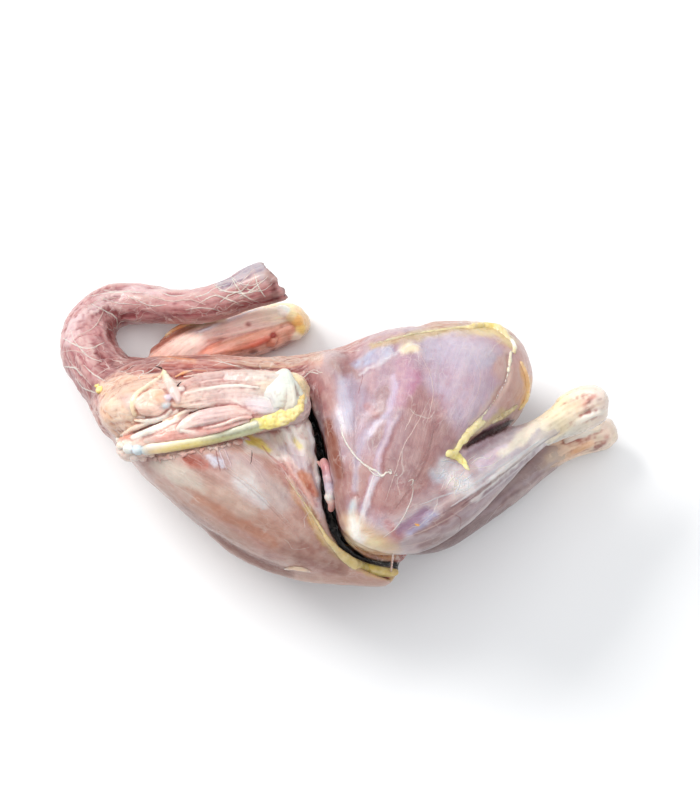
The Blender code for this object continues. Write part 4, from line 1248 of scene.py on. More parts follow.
def tube(heap, places, normals, radii, tone, flat=0.7, sides=6, tones=None):
    """A closed, round-ended cord laid along places."""
    places = ease_line(np.asarray(places, float))
    normals = ease_line(np.asarray(normals, float), 3)
    n = len(places)
    if n < 3:
        return
    along = np.gradient(places, axis=0)
    along /= np.maximum(np.linalg.norm(along, axis=1, keepdims=True), 1e-9)
    side = np.cross(along, normals)
    side /= np.maximum(np.linalg.norm(side, axis=1, keepdims=True), 1e-9)
    up = np.cross(side, along)
    radii = np.broadcast_to(radii, n).astype(float)
    turn = 2 * math.pi * np.arange(sides) / sides
    ring = (places[:, None] + side[:, None] * (np.cos(turn)[None, :, None] * radii[:, None, None])
            + up[:, None] * (np.sin(turn)[None, :, None] * radii[:, None, None] * flat))
    ends = np.stack([places[0] - along[0] * radii[0], places[-1] + along[-1] * radii[-1]])
    P = np.concatenate([ring.reshape(-1, 3), ends])
    F = []
    for i in range(n - 1):
        for k in range(sides):
            m = (k + 1) % sides
            a, b, c, d = i * sides + k, i * sides + m, (i + 1) * sides + m, (i + 1) * sides + k
            F += [(a, d, c), (a, c, b)]
    for k in range(sides):
        m = (k + 1) % sides
        F.append((n * sides, k, m))
        F.append((n * sides + 1, (n - 1) * sides + m, (n - 1) * sides + k))
    if tones is not None:
        C = np.concatenate([np.repeat(tones, sides, 0), tones[[0, -1]]])
    else:
        C = tone
    heap.add(P, F, C)


# =============================================================== laid pieces
MILK = colour(240, 236, 228)
SHELL = colour(226, 206, 198)
BLUSH = colour(220, 172, 164)
SALMON = colour(212, 146, 130)
ICE = colour(212, 224, 230)
LEMON = colour(228, 208, 122)
OCHRE = colour(212, 184, 112)
BUTTER = colour(228, 210, 156)


def laid(path, thick, lift=0.3, every=4.0, side="upper"):
    """Stations (x, y, z, half width, half thickness) on the skin through (u, v, half width squares)."""
    places, _, w = lay(path, side, every, 0.0)
    if len(places) < 2:
        return np.zeros((0, 5))
    t = np.linspace(0, 1, len(places))
    up = 1.0 if side == "upper" else -1.0
    thick = np.interp(t, np.linspace(0, 1, len(thick)), thick)
    places = ease_line(places, 2)
    z = np.maximum(places[:, 2] + up * lift, thick + 0.2)
    return np.stack([places[:, 0], places[:, 1], z, w * np.array([square(q) for q in z]), thick], 1)


def limb(path, thick, tones, lift=0.3, blend=0.9, ridge=0.12, side="upper", every=4.0):
    return laid(path, thick, lift, every, side), np.asarray(tones), blend, ridge


def free_limb(rows, tones, blend=0.9, ridge=0.12):
    """rows are (u, v, height mm, half width squares, half thickness mm)."""
    return to_mm(rows), np.asarray(tones), blend, ridge


def swollen(name, by, tones, blend=2.0, ridge=0.16, part=slice(None)):
    S = CHAINS[name][1][part].copy()
    by = np.atleast_1d(by)
    S[:, 3:] += np.interp(np.linspace(0, 1, len(S)), np.linspace(0, 1, len(by)), by)[:, None]
    return S, np.asarray(tones), blend, ridge


def bead(u, v, radius, height, tone, lift=0.2, blend=0.8, side="upper"):
    found = hit(u, v, side)
    if found is None:
        return np.zeros((0, 5)), None, 0, 0
    p, r = found[0], radius * square(found[0][2])
    up = lift if side == "upper" else -lift
    S = np.array([[p[0] - 0.2, p[1], p[2] + up, r, height], [p[0] + 0.2, p[1], p[2] + up, r, height]])
    return S, np.asarray([tone, tone]), blend, 0.02


def bridge(start, end, radius, tones):
    """A thread across the gap, from skin to skin."""
    a, b = hit(*start)[0], hit(*end)[0]
    t = np.linspace(0, 1, 7)[:, None]
    line = a * (1 - t) + b * t
    line[0, 2] -= 0.6
    line[-1, 2] -= 0.6
    return np.concatenate([line, np.full((7, 2), radius)], 1), np.asarray(tones), 0.4, 0.02


def shade_hollows(P, N, quads, C, fine=0.05, wide=0.3, strength=1.0):
    E = np.concatenate([quads[:, [k, (k + 1) % 4]] for k in range(4)])
    share = 1.0 / np.maximum(np.bincount(E[:, 0], minlength=len(P)), 1)

    def relax(A, times):
        for _ in range(times):
            A = 0.4 * A + 0.6 * np.stack([np.bincount(E[:, 0], weights=A[E[:, 1], k], minlength=len(P)) for k in range(3)], 1) * share[:, None]
        return A

    a = np.clip(((relax(P, 4) - P) * N).sum(1) / fine, -1.2, 1.6)
    b = np.clip(((relax(P, 30) - P) * N).sum(1) / wide, -1.0, 1.8)
    dark = np.clip(np.clip(a, 0, 2) * 0.22 + np.clip(b, 0, 2) * 0.34, 0, 0.7) * strength
    light = (np.clip(-a, 0, 1) * 0.18 + np.clip(-b, 0, 1) * 0.06) * strength
    C = C * (1 - dark[:, None] * np.array([0.55, 0.95, 0.95]))
    return C * (1 - light[:, None]) + colour(242, 228, 218) * light[:, None]


def melt(name, limbs, h, material, seed=1, rough=0.12, size=1.8, spots=None, spot_size=3.0, soften=0.35, shade=1.0, lumpy=None, depth=0.84, saturation=1.08):
    """One closed piece of limbs melted together, coloured along each limb."""
    limbs = [l for l in limbs if len(l[0]) > 1]
    lo = np.min([(S[:, :3] - S[:, 3:5].max() - 2.6).min(0) for S, *_ in limbs], 0)
    hi = np.max([(S[:, :3] + S[:, 3:5].max() + 2.6).max(0) for S, *_ in limbs], 0)
    grid = Grid(lo, hi, h)
    for S, _, blend, _ in limbs:
        grid.add_limb(blend, S, 3, 0, blend + 1.0)
    grid.F = smax(grid.F, (TABLE_Z - grid.axes()[2]).astype(np.float32), 0.4)
    for k in range(3):
        m = np.moveaxis(grid.F, k, 0)
        m[0], m[-1] = 5.0, 5.0
    Pm, Q = grid.skin(2)
    D = np.full((len(limbs), len(Pm)), 30.0)
    T, A, H, R = (np.zeros((len(limbs), len(Pm))) for _ in range(4))
    for m, (S, tones, _, _) in enumerate(limbs):
        S = spline(S, 2)
        r = S[:, 3:5].max() + 2.5
        near = ((Pm > S[:, :3].min(0) - r) & (Pm < S[:, :3].max(0) + r)).all(1).nonzero()[0]
        X = Pm[near]
        best = np.full(len(near), 30.0)
        t1, a1, h1 = np.zeros(len(near)), np.zeros(len(near)), np.zeros(len(near))
        run = 0.0
        for a, b in zip(S[:-1], S[1:]):
            d, t, qz = span_distance(a, b, X[:, 0], X[:, 1], X[:, 2])
            flat = math.hypot(b[0] - a[0], b[1] - a[1]) + 1e-9
            lateral = ((X[:, 0] - a[0]) * (b[1] - a[1]) - (X[:, 1] - a[1]) * (b[0] - a[0])) / flat
            length = np.linalg.norm(b[:3] - a[:3])
            better = d < best
            best[better], a1[better], h1[better] = d[better], lateral[better], qz[better]
            t1[better] = run + t[better] * length
            run += length
        D[m, near], T[m, near], A[m, near], H[m, near] = best, t1, a1, h1
        R[m] = T[m] / max(run, 1e-6)
    Wm = np.exp(-(D - D.min(0)) / soften)
    Wm /= Wm.sum(0)
    Cm, grain = np.zeros((len(Pm), 3)), np.zeros(len(Pm))
    ridge = np.zeros(len(Pm))
    for m, (S, tones, _, strength) in enumerate(limbs):
        use = Wm[m] > 0.01
        if not use.any():
            continue
        x = np.linspace(0, 1, len(tones))
        Cm[use] += Wm[m, use, None] * np.stack([np.interp(R[m, use], x, tones[:, k]) for k in range(3)], 1)
        q = np.stack([T[m, use], A[m, use] + 9.0 * m, H[m, use]], 1)
        g = lumps(q, (11.0, 1.15, 1.15), 2, seed + m)
        grain[use] += Wm[m, use] * g
        ridge[use] += Wm[m, use] * g * strength
    top = (Wm.argmax(0), np.arange(len(Pm)))
    fibre = np.stack([T[top] + 31.0 * top[0], A[top], H[top]], 1)
    Nm = vertex_normals(Pm, Q)
    bulk = lumps(Pm, size, 2, seed + 50)
    Pm = Pm + Nm * (ridge * 0.9 + bulk * rough)[:, None]
    if lumpy is not None:
        Pm = Pm + Nm * (np.abs(noise(Pm, lumpy[0], seed + 7)) * lumpy[1])[:, None]
    Pm[:, 2] = np.maximum(Pm[:, 2], TABLE_Z)
    Nm = vertex_normals(Pm, Q)
    streak = np.clip(ridge / 0.12, -1, 1)
    Cm = Cm * (1 + 0.10 * streak[:, None]) * (1 + 0.10 * lumps(Pm, 5.0, 2, seed + 60)[:, None])
    if spots is not None:
        m = 0.55 * step(lumps(Pm, spot_size, 3, seed + 70), 0.05, 0.8)[:, None]
        Cm = Cm * (1 - m) + spots * m
    if shade:
        Cm = shade_hollows(Pm, Nm, Q, Cm, strength=shade)
    return mesh_piece(name, Pm, Q, Cm, fibre, material, depth=depth, saturation=saturation)


# ---------------------------------------------------- the wing that lies on top
WING = [
    swollen("wing_left_upper", (-1.6, 0.1, 0.35, 0.35, 0.35), (colour(234, 204, 178), colour(232, 202, 180), colour(218, 188, 176), colour(214, 188, 182), colour(222, 202, 192), colour(240, 220, 184)), 2.0, 0.05),
    swollen("wing_left_fore", 0.35, (colour(230, 210, 206), colour(220, 182, 170), colour(216, 172, 160), colour(222, 184, 170), colour(236, 218, 208)), 1.4),
    # upper arm: flat pale bellies with sinew between
    limb([(176, 389, 3), (198, 384, 9), (232, 380, 10.5), (264, 380, 9), (286, 381, 5)], (0.5, 1.0, 1.2, 1.1, 0.6),
         (colour(214, 188, 180), colour(214, 186, 180), colour(218, 194, 188), colour(226, 210, 202), colour(228, 222, 216)), 0.4, 1.4),
    limb([(176, 404, 3), (192, 400, 9), (218, 397, 10), (244, 396, 9), (266, 399, 5)], (0.5, 1.1, 1.3, 1.1, 0.6),
         (colour(236, 208, 188), colour(228, 206, 196), colour(224, 198, 192), colour(228, 208, 202), MILK), 0.5, 1.4),
    limb([(184, 377, 1.0), (215, 373, 1.8), (255, 371.5, 1.8), (286, 373.0, 1.2)], (0.3, 0.6, 0.6, 0.3), (SHELL, colour(222, 190, 184), colour(224, 196, 190), colour(232, 218, 208)), 0.5, 1.4, 0.04),
    limb([(182, 386, 1.0), (206, 381, 1.2), (236, 378, 1.2), (262, 378, 0.9)], (0.2, 0.35, 0.35, 0.2), (BLUSH, SHELL, MILK, MILK), 1.35, 0.8, 0.04),
    limb([(186, 394, 1.0), (208, 389, 1.2), (236, 386, 1.3), (258, 388, 0.9)], (0.2, 0.4, 0.4, 0.2), (SHELL, MILK, MILK, MILK), 1.35, 0.8, 0.04),
    limb([(236, 405, 3), (250, 404, 7), (264, 406, 7), (274, 408, 4)], (0.4, 0.9, 0.9, 0.4),
         (colour(226, 208, 206), colour(220, 206, 212), colour(224, 216, 220), colour(228, 226, 224)), 0.6, 1.6),
    # red hollow and the belly below it
    limb([(196, 409, 1.0), (208, 404.5, 2.4), (222, 401.5, 3.4), (236, 402.5, 3.0), (244, 408, 1.2)], (0.3, 0.7, 0.8, 0.7, 0.3),
         (BLUSH, colour(222, 160, 150), colour(204, 124, 112), colour(210, 140, 130), BLUSH), 0.9, 0.6),
    limb([(193, 412, 0.9), (206, 406, 1.2), (220, 402, 1.0)], (0.3, 0.5, 0.3), (MILK, MILK, SHELL), 1.6, 0.5, 0.02),
    limb([(226, 398.5, 0.8), (236, 400.5, 1.0), (243, 406, 0.8)], (0.3, 0.4, 0.3), (SHELL, MILK, SHELL), 1.6, 0.4, 0.02),
    limb([(178, 429, 1.6), (188, 422.5, 6.0), (204, 418, 8.4), (222, 414.5, 8.0), (238, 412.5, 6.0), (250, 415, 1.6)], (0.4, 1.2, 1.8, 1.7, 1.2, 0.4),
         (MILK, colour(238, 220, 212), colour(226, 200, 196), colour(228, 204, 200), colour(230, 200, 192), SHELL), 1.0, 0.7, 0.12),
    limb([(146, 441, 2), (164, 437.5, 4.6), (186, 434, 5.2), (208, 431, 4.6), (228, 426, 3.5), (248, 421, 1.5)], (0.4, 0.9, 1.0, 1.0, 0.8, 0.4),
         (SHELL, colour(218, 166, 156), colour(214, 164, 156), colour(222, 180, 172), BLUSH, SHELL), 0.6, 0.9, 0.12),
    limb([(204, 429, 0.8), (220, 426, 1.3), (236, 420, 1.8), (246, 417.5, 2.0), (252, 418, 1.4)], (0.3, 0.6, 0.8, 0.9, 0.5), (BLUSH, SHELL, colour(236, 214, 204), SHELL, BLUSH), 1.5, 0.6, 0.05),
    limb([(182, 431.5, 1.8), (194, 432.5, 1.6), (206, 436, 0.8)], (0.6, 0.5, 0.3), (MILK, MILK, SHELL), 1.2, 0.5, 0.03),
    # two sinews out of the shoulder
    limb([(121, 435.5, 1.6), (134, 429, 2.8), (150, 422.5, 2.9), (164, 418, 2.4), (177, 411.5, 1.6)], (0.5, 1.0, 1.1, 0.9, 0.5),
         (colour(240, 214, 190), colour(238, 212, 192), colour(240, 220, 206), MILK, SHELL), 0.8, 0.8, 0.06),
    limb([(134, 437.8, 3.0), (149, 432, 4.0), (165, 425.8, 4.0), (176, 421, 3.0), (188, 415.5, 1.6)], (0.7, 1.2, 1.3, 1.1, 0.5),
         (MILK, MILK, colour(248, 246, 236), colour(246, 234, 222), SHELL), 1.0, 0.7, 0.03),
    limb([(165, 422, 1.6), (176, 417.5, 2.2), (188, 411, 1.8), (198, 408.5, 0.9)], (0.5, 0.9, 0.7, 0.3), (colour(244, 226, 190), colour(242, 222, 186), SHELL, SHELL), 1.3, 0.8, 0.04),
    limb([(122, 440, 3.0), (134, 437, 3.0)], (0.5, 0.5), (colour(206, 120, 88), colour(200, 110, 86)), 0.6, 0.5),
    # shoulder disc: a lumpy hollow with a pale rim
    limb([(141, 403, 6), (150, 398, 8), (158, 397, 7)], (0.7, 0.8, 0.8), (colour(240, 212, 198), colour(242, 214, 198), colour(242, 222, 206)), -0.1, 2.2, 0.05),
    limb([(146, 410, 6), (157, 408, 7), (164, 402, 5)], (0.7, 0.8, 0.7), (colour(238, 206, 192), colour(240, 212, 200), colour(234, 214, 210)), -0.1, 2.0, 0.05),
    bead(158, 396, 4.6, 0.8, colour(234, 184, 150), 0.3, 1.8), bead(164, 400, 3.6, 0.8, colour(236, 190, 160), 0.3, 1.6), bead(152, 404, 5.0, 0.9, colour(240, 216, 200), 0.2, 1.8),
    bead(146, 398, 3.0, 0.7, colour(234, 196, 176), 0.2, 1.6), bead(156, 409, 3.0, 0.7, colour(236, 200, 180), 0.2, 1.6), bead(147, 410, 2.6, 0.7, colour(238, 206, 190), 0.2, 1.4),
    bead(166, 405, 2.6, 0.8, ICE, 0.9, 1.2), bead(168, 398, 2.2, 0.7, colour(226, 210, 222), 0.9, 1.2),
    limb([(134, 415, 1.6), (131.5, 405, 2.4), (136, 394, 2.4), (147, 387, 2.2), (158, 380, 2.2), (164, 373, 1.4)], (0.5, 0.9, 0.9, 0.8, 0.8, 0.4),
         (colour(242, 218, 188), colour(244, 230, 200), colour(246, 234, 208), colour(244, 232, 212), colour(244, 228, 198), colour(242, 222, 180)), 0.7, 1.5, 0.04),
    limb([(135, 421, 1.2), (148, 421.5, 2.0), (163, 417.5, 1.8), (171, 411, 1.2)], (0.4, 0.7, 0.7, 0.4), (colour(240, 214, 190), MILK, MILK, SHELL), 1.0, 0.8, 0.04),
    limb([(163, 370, 1.0), (167, 379, 3.8), (172, 387, 5.0), (176, 394, 3.8), (178, 401, 1.6)], (0.4, 0.8, 0.9, 0.8, 0.4),
         (colour(242, 226, 182), colour(246, 236, 206), colour(244, 232, 216), colour(236, 218, 208), colour(230, 206, 204)), 1.1, 1.6, 0.05),
    limb([(176, 377, 1.0), (184, 372.5, 1.6), (192, 371, 1.0)], (0.3, 0.6, 0.3), (colour(230, 176, 130), colour(230, 170, 124), SHELL), 0.6, 0.5, 0.04),
    bead(182, 389, 2.6, 0.7, colour(242, 222, 216), 1.5),
]
rng = np.random.default_rng(4)
EDGE = spline(np.array([(150, 459), (165, 457), (182, 453.5), (200, 450.5), (216, 447), (233, 442.5), (248, 438)], float), 8)
for i in range(58):
    u, v = EDGE[rng.integers(0, len(EDGE))] + rng.normal(0, 0.9, 2)
    a, l = rng.uniform(-0.6, 1.4), rng.uniform(1.5, 5.5)
    tone = (SHELL, BLUSH, colour(226, 190, 180), colour(214, 160, 146))[i % 4]
    WING.append(limb([(u, v, rng.uniform(0.8, 1.8)), (u + l * 0.5 * math.cos(a), v + l * 0.5 * math.sin(a), rng.uniform(0.7, 1.6)),
                      (u + l * math.cos(a), v + l * math.sin(a), 0.5)], (0.3, 0.45, 0.2), (tone, tone), 0.15, 0.7, 0.04, every=1.5))
melt("near_wing", WING, 0.48, STRIP, seed=11, rough=0.13, size=2.2, shade=0.75, depth=0.88, saturation=1.06)

BONES = [
    limb([(148, 450, 5.4), (162, 448.6, 5.2), (180, 445.9, 5.0), (201, 442.3, 5.0), (220, 437.8, 5.2), (240, 432.2, 5.8), (259, 426, 6.6)],
         (2.0, 2.0, 2.0, 2.0, 2.1, 2.2, 2.3), (colour(230, 206, 176), colour(230, 212, 160), colour(226, 208, 142), colour(220, 208, 150),
         colour(212, 208, 164), colour(200, 202, 170), colour(196, 196, 166)), 1.2, 0.6, 0.01),
    # a cream limb along the bone's upper side is a painted highlight
    limb([(150, 447.6, 3.2), (180, 443.2, 2.8), (210, 437.8, 2.8), (240, 429.4, 3.2), (256, 424, 3.4)], (1.3, 1.3, 1.3, 1.3, 1.3), (MILK, colour(238, 232, 206), colour(232, 230, 202), colour(216, 220, 200), colour(212, 214, 194)), 1.9, 0.9, 0.01),
    bead(121, 446, 4.2, 1.4, colour(230, 220, 208), 0.8, 0.7), bead(129, 449, 5.4, 1.9, colour(218, 222, 220), 0.7, 0.6), bead(138, 450, 5.6, 2.3, colour(202, 216, 222), 0.8, 0.5),
    bead(146.5, 450.5, 5.0, 2.3, colour(190, 212, 220), 1.0, 0.5), bead(134, 457, 4.2, 1.6, colour(228, 214, 208), 0.6, 1.0), bead(143, 458, 4.0, 1.5, colour(226, 204, 196), 0.6, 1.0),
    bead(119, 440, 3.0, 1.2, MILK, 0.7, 1.0), bead(152, 455, 3.0, 1.2, colour(226, 200, 186), 0.8, 0.8),
    # elbow: a sinew fan over bluish gristle
    limb([(281, 373, 2.6), (285, 382, 6.4), (287, 393, 9.0), (286, 404, 9.0), (282, 411, 6)], (0.5, 0.8, 0.9, 0.9, 0.5),
         (colour(228, 222, 212), colour(220, 218, 210), colour(216, 218, 210), colour(222, 212, 196), colour(222, 208, 188)), 0.5, 1.5, 0.12),
    limb([(289, 376, 2.0), (296, 386, 3.6), (302, 396, 3.8), (304, 406, 2.6)], (0.7, 1.1, 1.2, 0.7), (colour(238, 232, 214), colour(240, 222, 196), colour(242, 214, 160), BUTTER), -0.1, 2.0, 0.08),
    limb([(262, 381, 2.4), (268, 391, 4.4), (272, 401, 4.4)], (0.4, 0.6, 0.4), (colour(226, 210, 204), colour(220, 208, 206), colour(214, 200, 202)), 0.4, 1.5, 0.10),
]
for path, r in (([(262, 401, 1.4), (269, 392, 1.8), (277, 382, 2.0), (285, 374, 1.4)], 1.0), ([(286, 374, 1.4), (289, 386, 2.0), (291, 398, 1.8), (296, 408, 1.2)], 1.0),
                ([(284, 376, 1.2), (281, 388, 1.4), (277, 400, 1.4), (272, 410, 1)], 0.7), ([(278, 404, 1), (288, 401, 1.4), (298, 400, 1.4), (305, 404, 1)], 0.6),
                ([(250, 381, 0.8), (266, 377.5, 1.2), (284, 374, 1.2)], 0.6), ([(286, 376, 1), (296, 388, 1.4), (303, 401, 1.2)], 0.7)):
    BONES.append(limb([(u, v, 1.5 * w) for u, v, w in path], (0.2 * r, 0.32 * r, 0.2 * r), (colour(228, 236, 230), colour(232, 238, 230), colour(222, 224, 212)), 0.85, 1.6, 0.02, every=2.5))
melt("wing_bone_and_gristle", BONES, 0.46, BONE, seed=31, rough=0.08, depth=0.92, saturation=1.1)

melt("wing_fat", [
    limb([(253, 421.5, 3.4), (262, 422.5, 7.0), (273, 420, 8.8), (284, 415.5, 9.6), (294, 409, 8.6), (300, 401, 5.4), (301, 394, 2.6)],
         (0.7, 1.3, 1.6, 1.8, 1.8, 1.4, 0.7), (colour(226, 214, 140), colour(238, 224, 128), colour(238, 222, 132), colour(242, 222, 140), colour(240, 224, 156), colour(240, 212, 140), colour(240, 200, 130)), 0.7, 1.2, 0.0),
    bead(100, 390, 3.8, 1.1, colour(242, 214, 116), 0.2, 0.6), bead(98, 386, 2.2, 0.8, colour(242, 214, 116), 0.2, 0.6),
], 0.46, FAT, seed=51, rough=0.24, size=1.7, spots=colour(244, 236, 196), spot_size=2.2, lumpy=(1.9, 0.5), shade=0.5, depth=0.98, saturation=0.9)

shafts = Heap()
for (u, v), (du, dv, dz) in (((162, 371), (-6.5, -4.5, 3.2)), ((177.5, 388.5), (3.8, -6.6, 2.6))):
    p, n = hit(u, v)
    p = p + n * 1.2
    tip = plan(u + du, v + dv, p[2] + dz)
    t = np.linspace(0, 1, 9)[:, None]
    line = p * (1 - t) + tip * t + np.array([0, 0, 0.8]) * np.sin(math.pi * t)
    tube(shafts, line, np.tile(n, (9, 1)), 0.34 * (1.15 - 0.75 * t[:, 0]), colour(34, 24, 24), flat=1.0, sides=8)
shafts.piece("pin_feather_shafts", THREAD)

# -------------------------------------------------- the wing that lies below
melt("far_wing", [
    swollen("wing_right_upper", 0.3, (colour(206, 160, 148), colour(214, 172, 158), colour(236, 206, 196), colour(240, 216, 206), colour(242, 220, 210), colour(244, 228, 204), colour(240, 212, 170)), 2.0, 0.07),
    swollen("wing_right_fore", 0.3, (colour(236, 186, 164), colour(236, 190, 172), colour(222, 164, 146), colour(180, 116, 100)), 2.0, 0.12),
    swollen("wing_right_web", 0.3, (colour(150, 96, 84), colour(162, 112, 96), colour(168, 150, 120)), 1.2),
    limb([(192, 328, 1.5), (212, 327, 3.4), (236, 322, 4.6), (262, 315, 5.4), (284, 311, 3.0)], (0.4, 0.8, 0.9, 0.9, 0.5),
         (colour(196, 184, 156), colour(228, 204, 190), colour(240, 216, 206), colour(240, 220, 210), MILK), 0.2, 1.2, 0.07),
    # a pale line along the top edge is a painted highlight
    limb([(192, 334, 0.8), (208, 329, 1.2), (222, 323, 1.3), (236, 319, 1.2), (250, 312, 1.0), (262, 309, 0.8)], (0.2, 0.4, 0.4, 0.4, 0.3, 0.2), (colour(216, 214, 224),) * 6, 0.8, 0.6, 0.02),
    limb([(206, 337, 2), (226, 332, 5.5), (250, 325, 6.5), (272, 320, 5), (284, 318, 3)], (0.4, 0.9, 1.0, 0.9, 0.5),
         (BLUSH, colour(236, 200, 190), colour(240, 208, 198), colour(240, 216, 206), MILK), 0.3, 1.6, 0.09),
    # a pale line along a ridge is a painted highlight
    limb([(224, 342, 0.8), (237, 337, 1.2), (250, 331.5, 1.3), (262, 327, 1.1), (272, 325, 0.7)], (0.2, 0.4, 0.4, 0.3, 0.2), (colour(246, 232, 226),) * 5, 0.8, 0.6, 0.02),
    limb([(224, 345, 2.0), (238, 341, 3.6), (254, 336, 4.4), (266, 331, 4.0), (276, 327, 2.4)], (0.4, 1.0, 1.2, 1.0, 0.5),
         (colour(230, 178, 150), colour(234, 176, 146), colour(234, 168, 138), colour(236, 176, 148), colour(238, 196, 172)), 0.3, 1.4, 0.10),
    limb([(228, 350, 1.6), (242, 347.5, 3.0), (256, 343.5, 3.6), (266, 338.5, 3.2), (276, 334, 1.8)], (0.4, 1.0, 1.2, 1.0, 0.5),
         (colour(206, 128, 96), colour(216, 120, 88), colour(212, 104, 74), colour(206, 90, 66), colour(212, 130, 106)), 0.1, 0.9, 0.10),
    # the dark-red knob, a pale bead on it as painted highlight, and a red spot
    bead(271, 342, 5.4, 2.2, colour(202, 128, 104), -0.6, 0.6), bead(274, 340, 3.2, 1.2, colour(232, 176, 152), 1.0, 0.6), bead(273.5, 336, 2.2, 0.9, colour(160, 28, 18), 1.2, 0.4),
    bead(253, 350, 3.4, 1.6, colour(120, 52, 40), -0.5, 0.8), bead(272, 347.5, 3.0, 1.4, colour(100, 40, 30), -1.6, 0.8), bead(248.5, 324.7, 1.3, 0.5, colour(150, 30, 30), 1.2, 0.3),
    bead(283, 311, 5.6, 2.4, colour(244, 242, 234), 0.0, 2.0), bead(291, 316, 5.0, 2.2, colour(240, 222, 176), 0.2, 2.0), bead(297, 320, 5.2, 2.6, colour(238, 196, 122), 0.0, 2.0),
    bead(300, 329, 5.2, 2.6, colour(242, 214, 136), -0.2, 2.0), bead(296, 334, 6.0, 2.6, colour(244, 232, 214), -0.3, 2.0),
    free_limb([(291, 316, 13.5, 1.2, 0.6), (294, 322, 13.5, 1.4, 0.6), (293, 328, 13, 1.0, 0.5)], (colour(214, 150, 96), colour(206, 128, 80), colour(222, 160, 112)), 0.4, 0.0),
    free_limb([(157, 352, 12.5, 2.5, 0.9), (165, 344, 12.5, 6, 1.1), (176, 338, 13, 8, 1.2), (190, 332, 14, 9, 1.2), (204, 328, 15, 8, 1.2), (218, 326, 16, 5, 1.0)],
              (colour(128, 82, 68), colour(138, 88, 72), colour(152, 100, 82), colour(164, 122, 98), colour(172, 148, 118), colour(196, 168, 148)), 1.0, 0.22),
    free_limb([(166, 335, 13.5, 1.2, 0.6), (176, 328, 14.5, 1.8, 0.7), (190, 322.5, 16, 2.6, 0.8), (206, 320, 18, 3.4, 0.9), (224, 320, 19, 2.6, 0.8)],
              (colour(176, 150, 110), colour(206, 150, 104), colour(176, 168, 136), colour(190, 182, 150), colour(206, 190, 170)), 0.8, 0.12),
    free_limb([(162, 349, 14, 0.8, 0.5), (178, 344, 15, 1.0, 0.5), (196, 339, 16.5, 1.0, 0.5), (212, 335, 18, 0.8, 0.4)], (colour(214, 190, 170), colour(220, 196, 178), colour(226, 204, 188), SHELL), 0.5, 0.05),
], 0.5, STRIP, seed=91, rough=0.07, size=2.2, shade=0.5, depth=1.12, saturation=1.0)

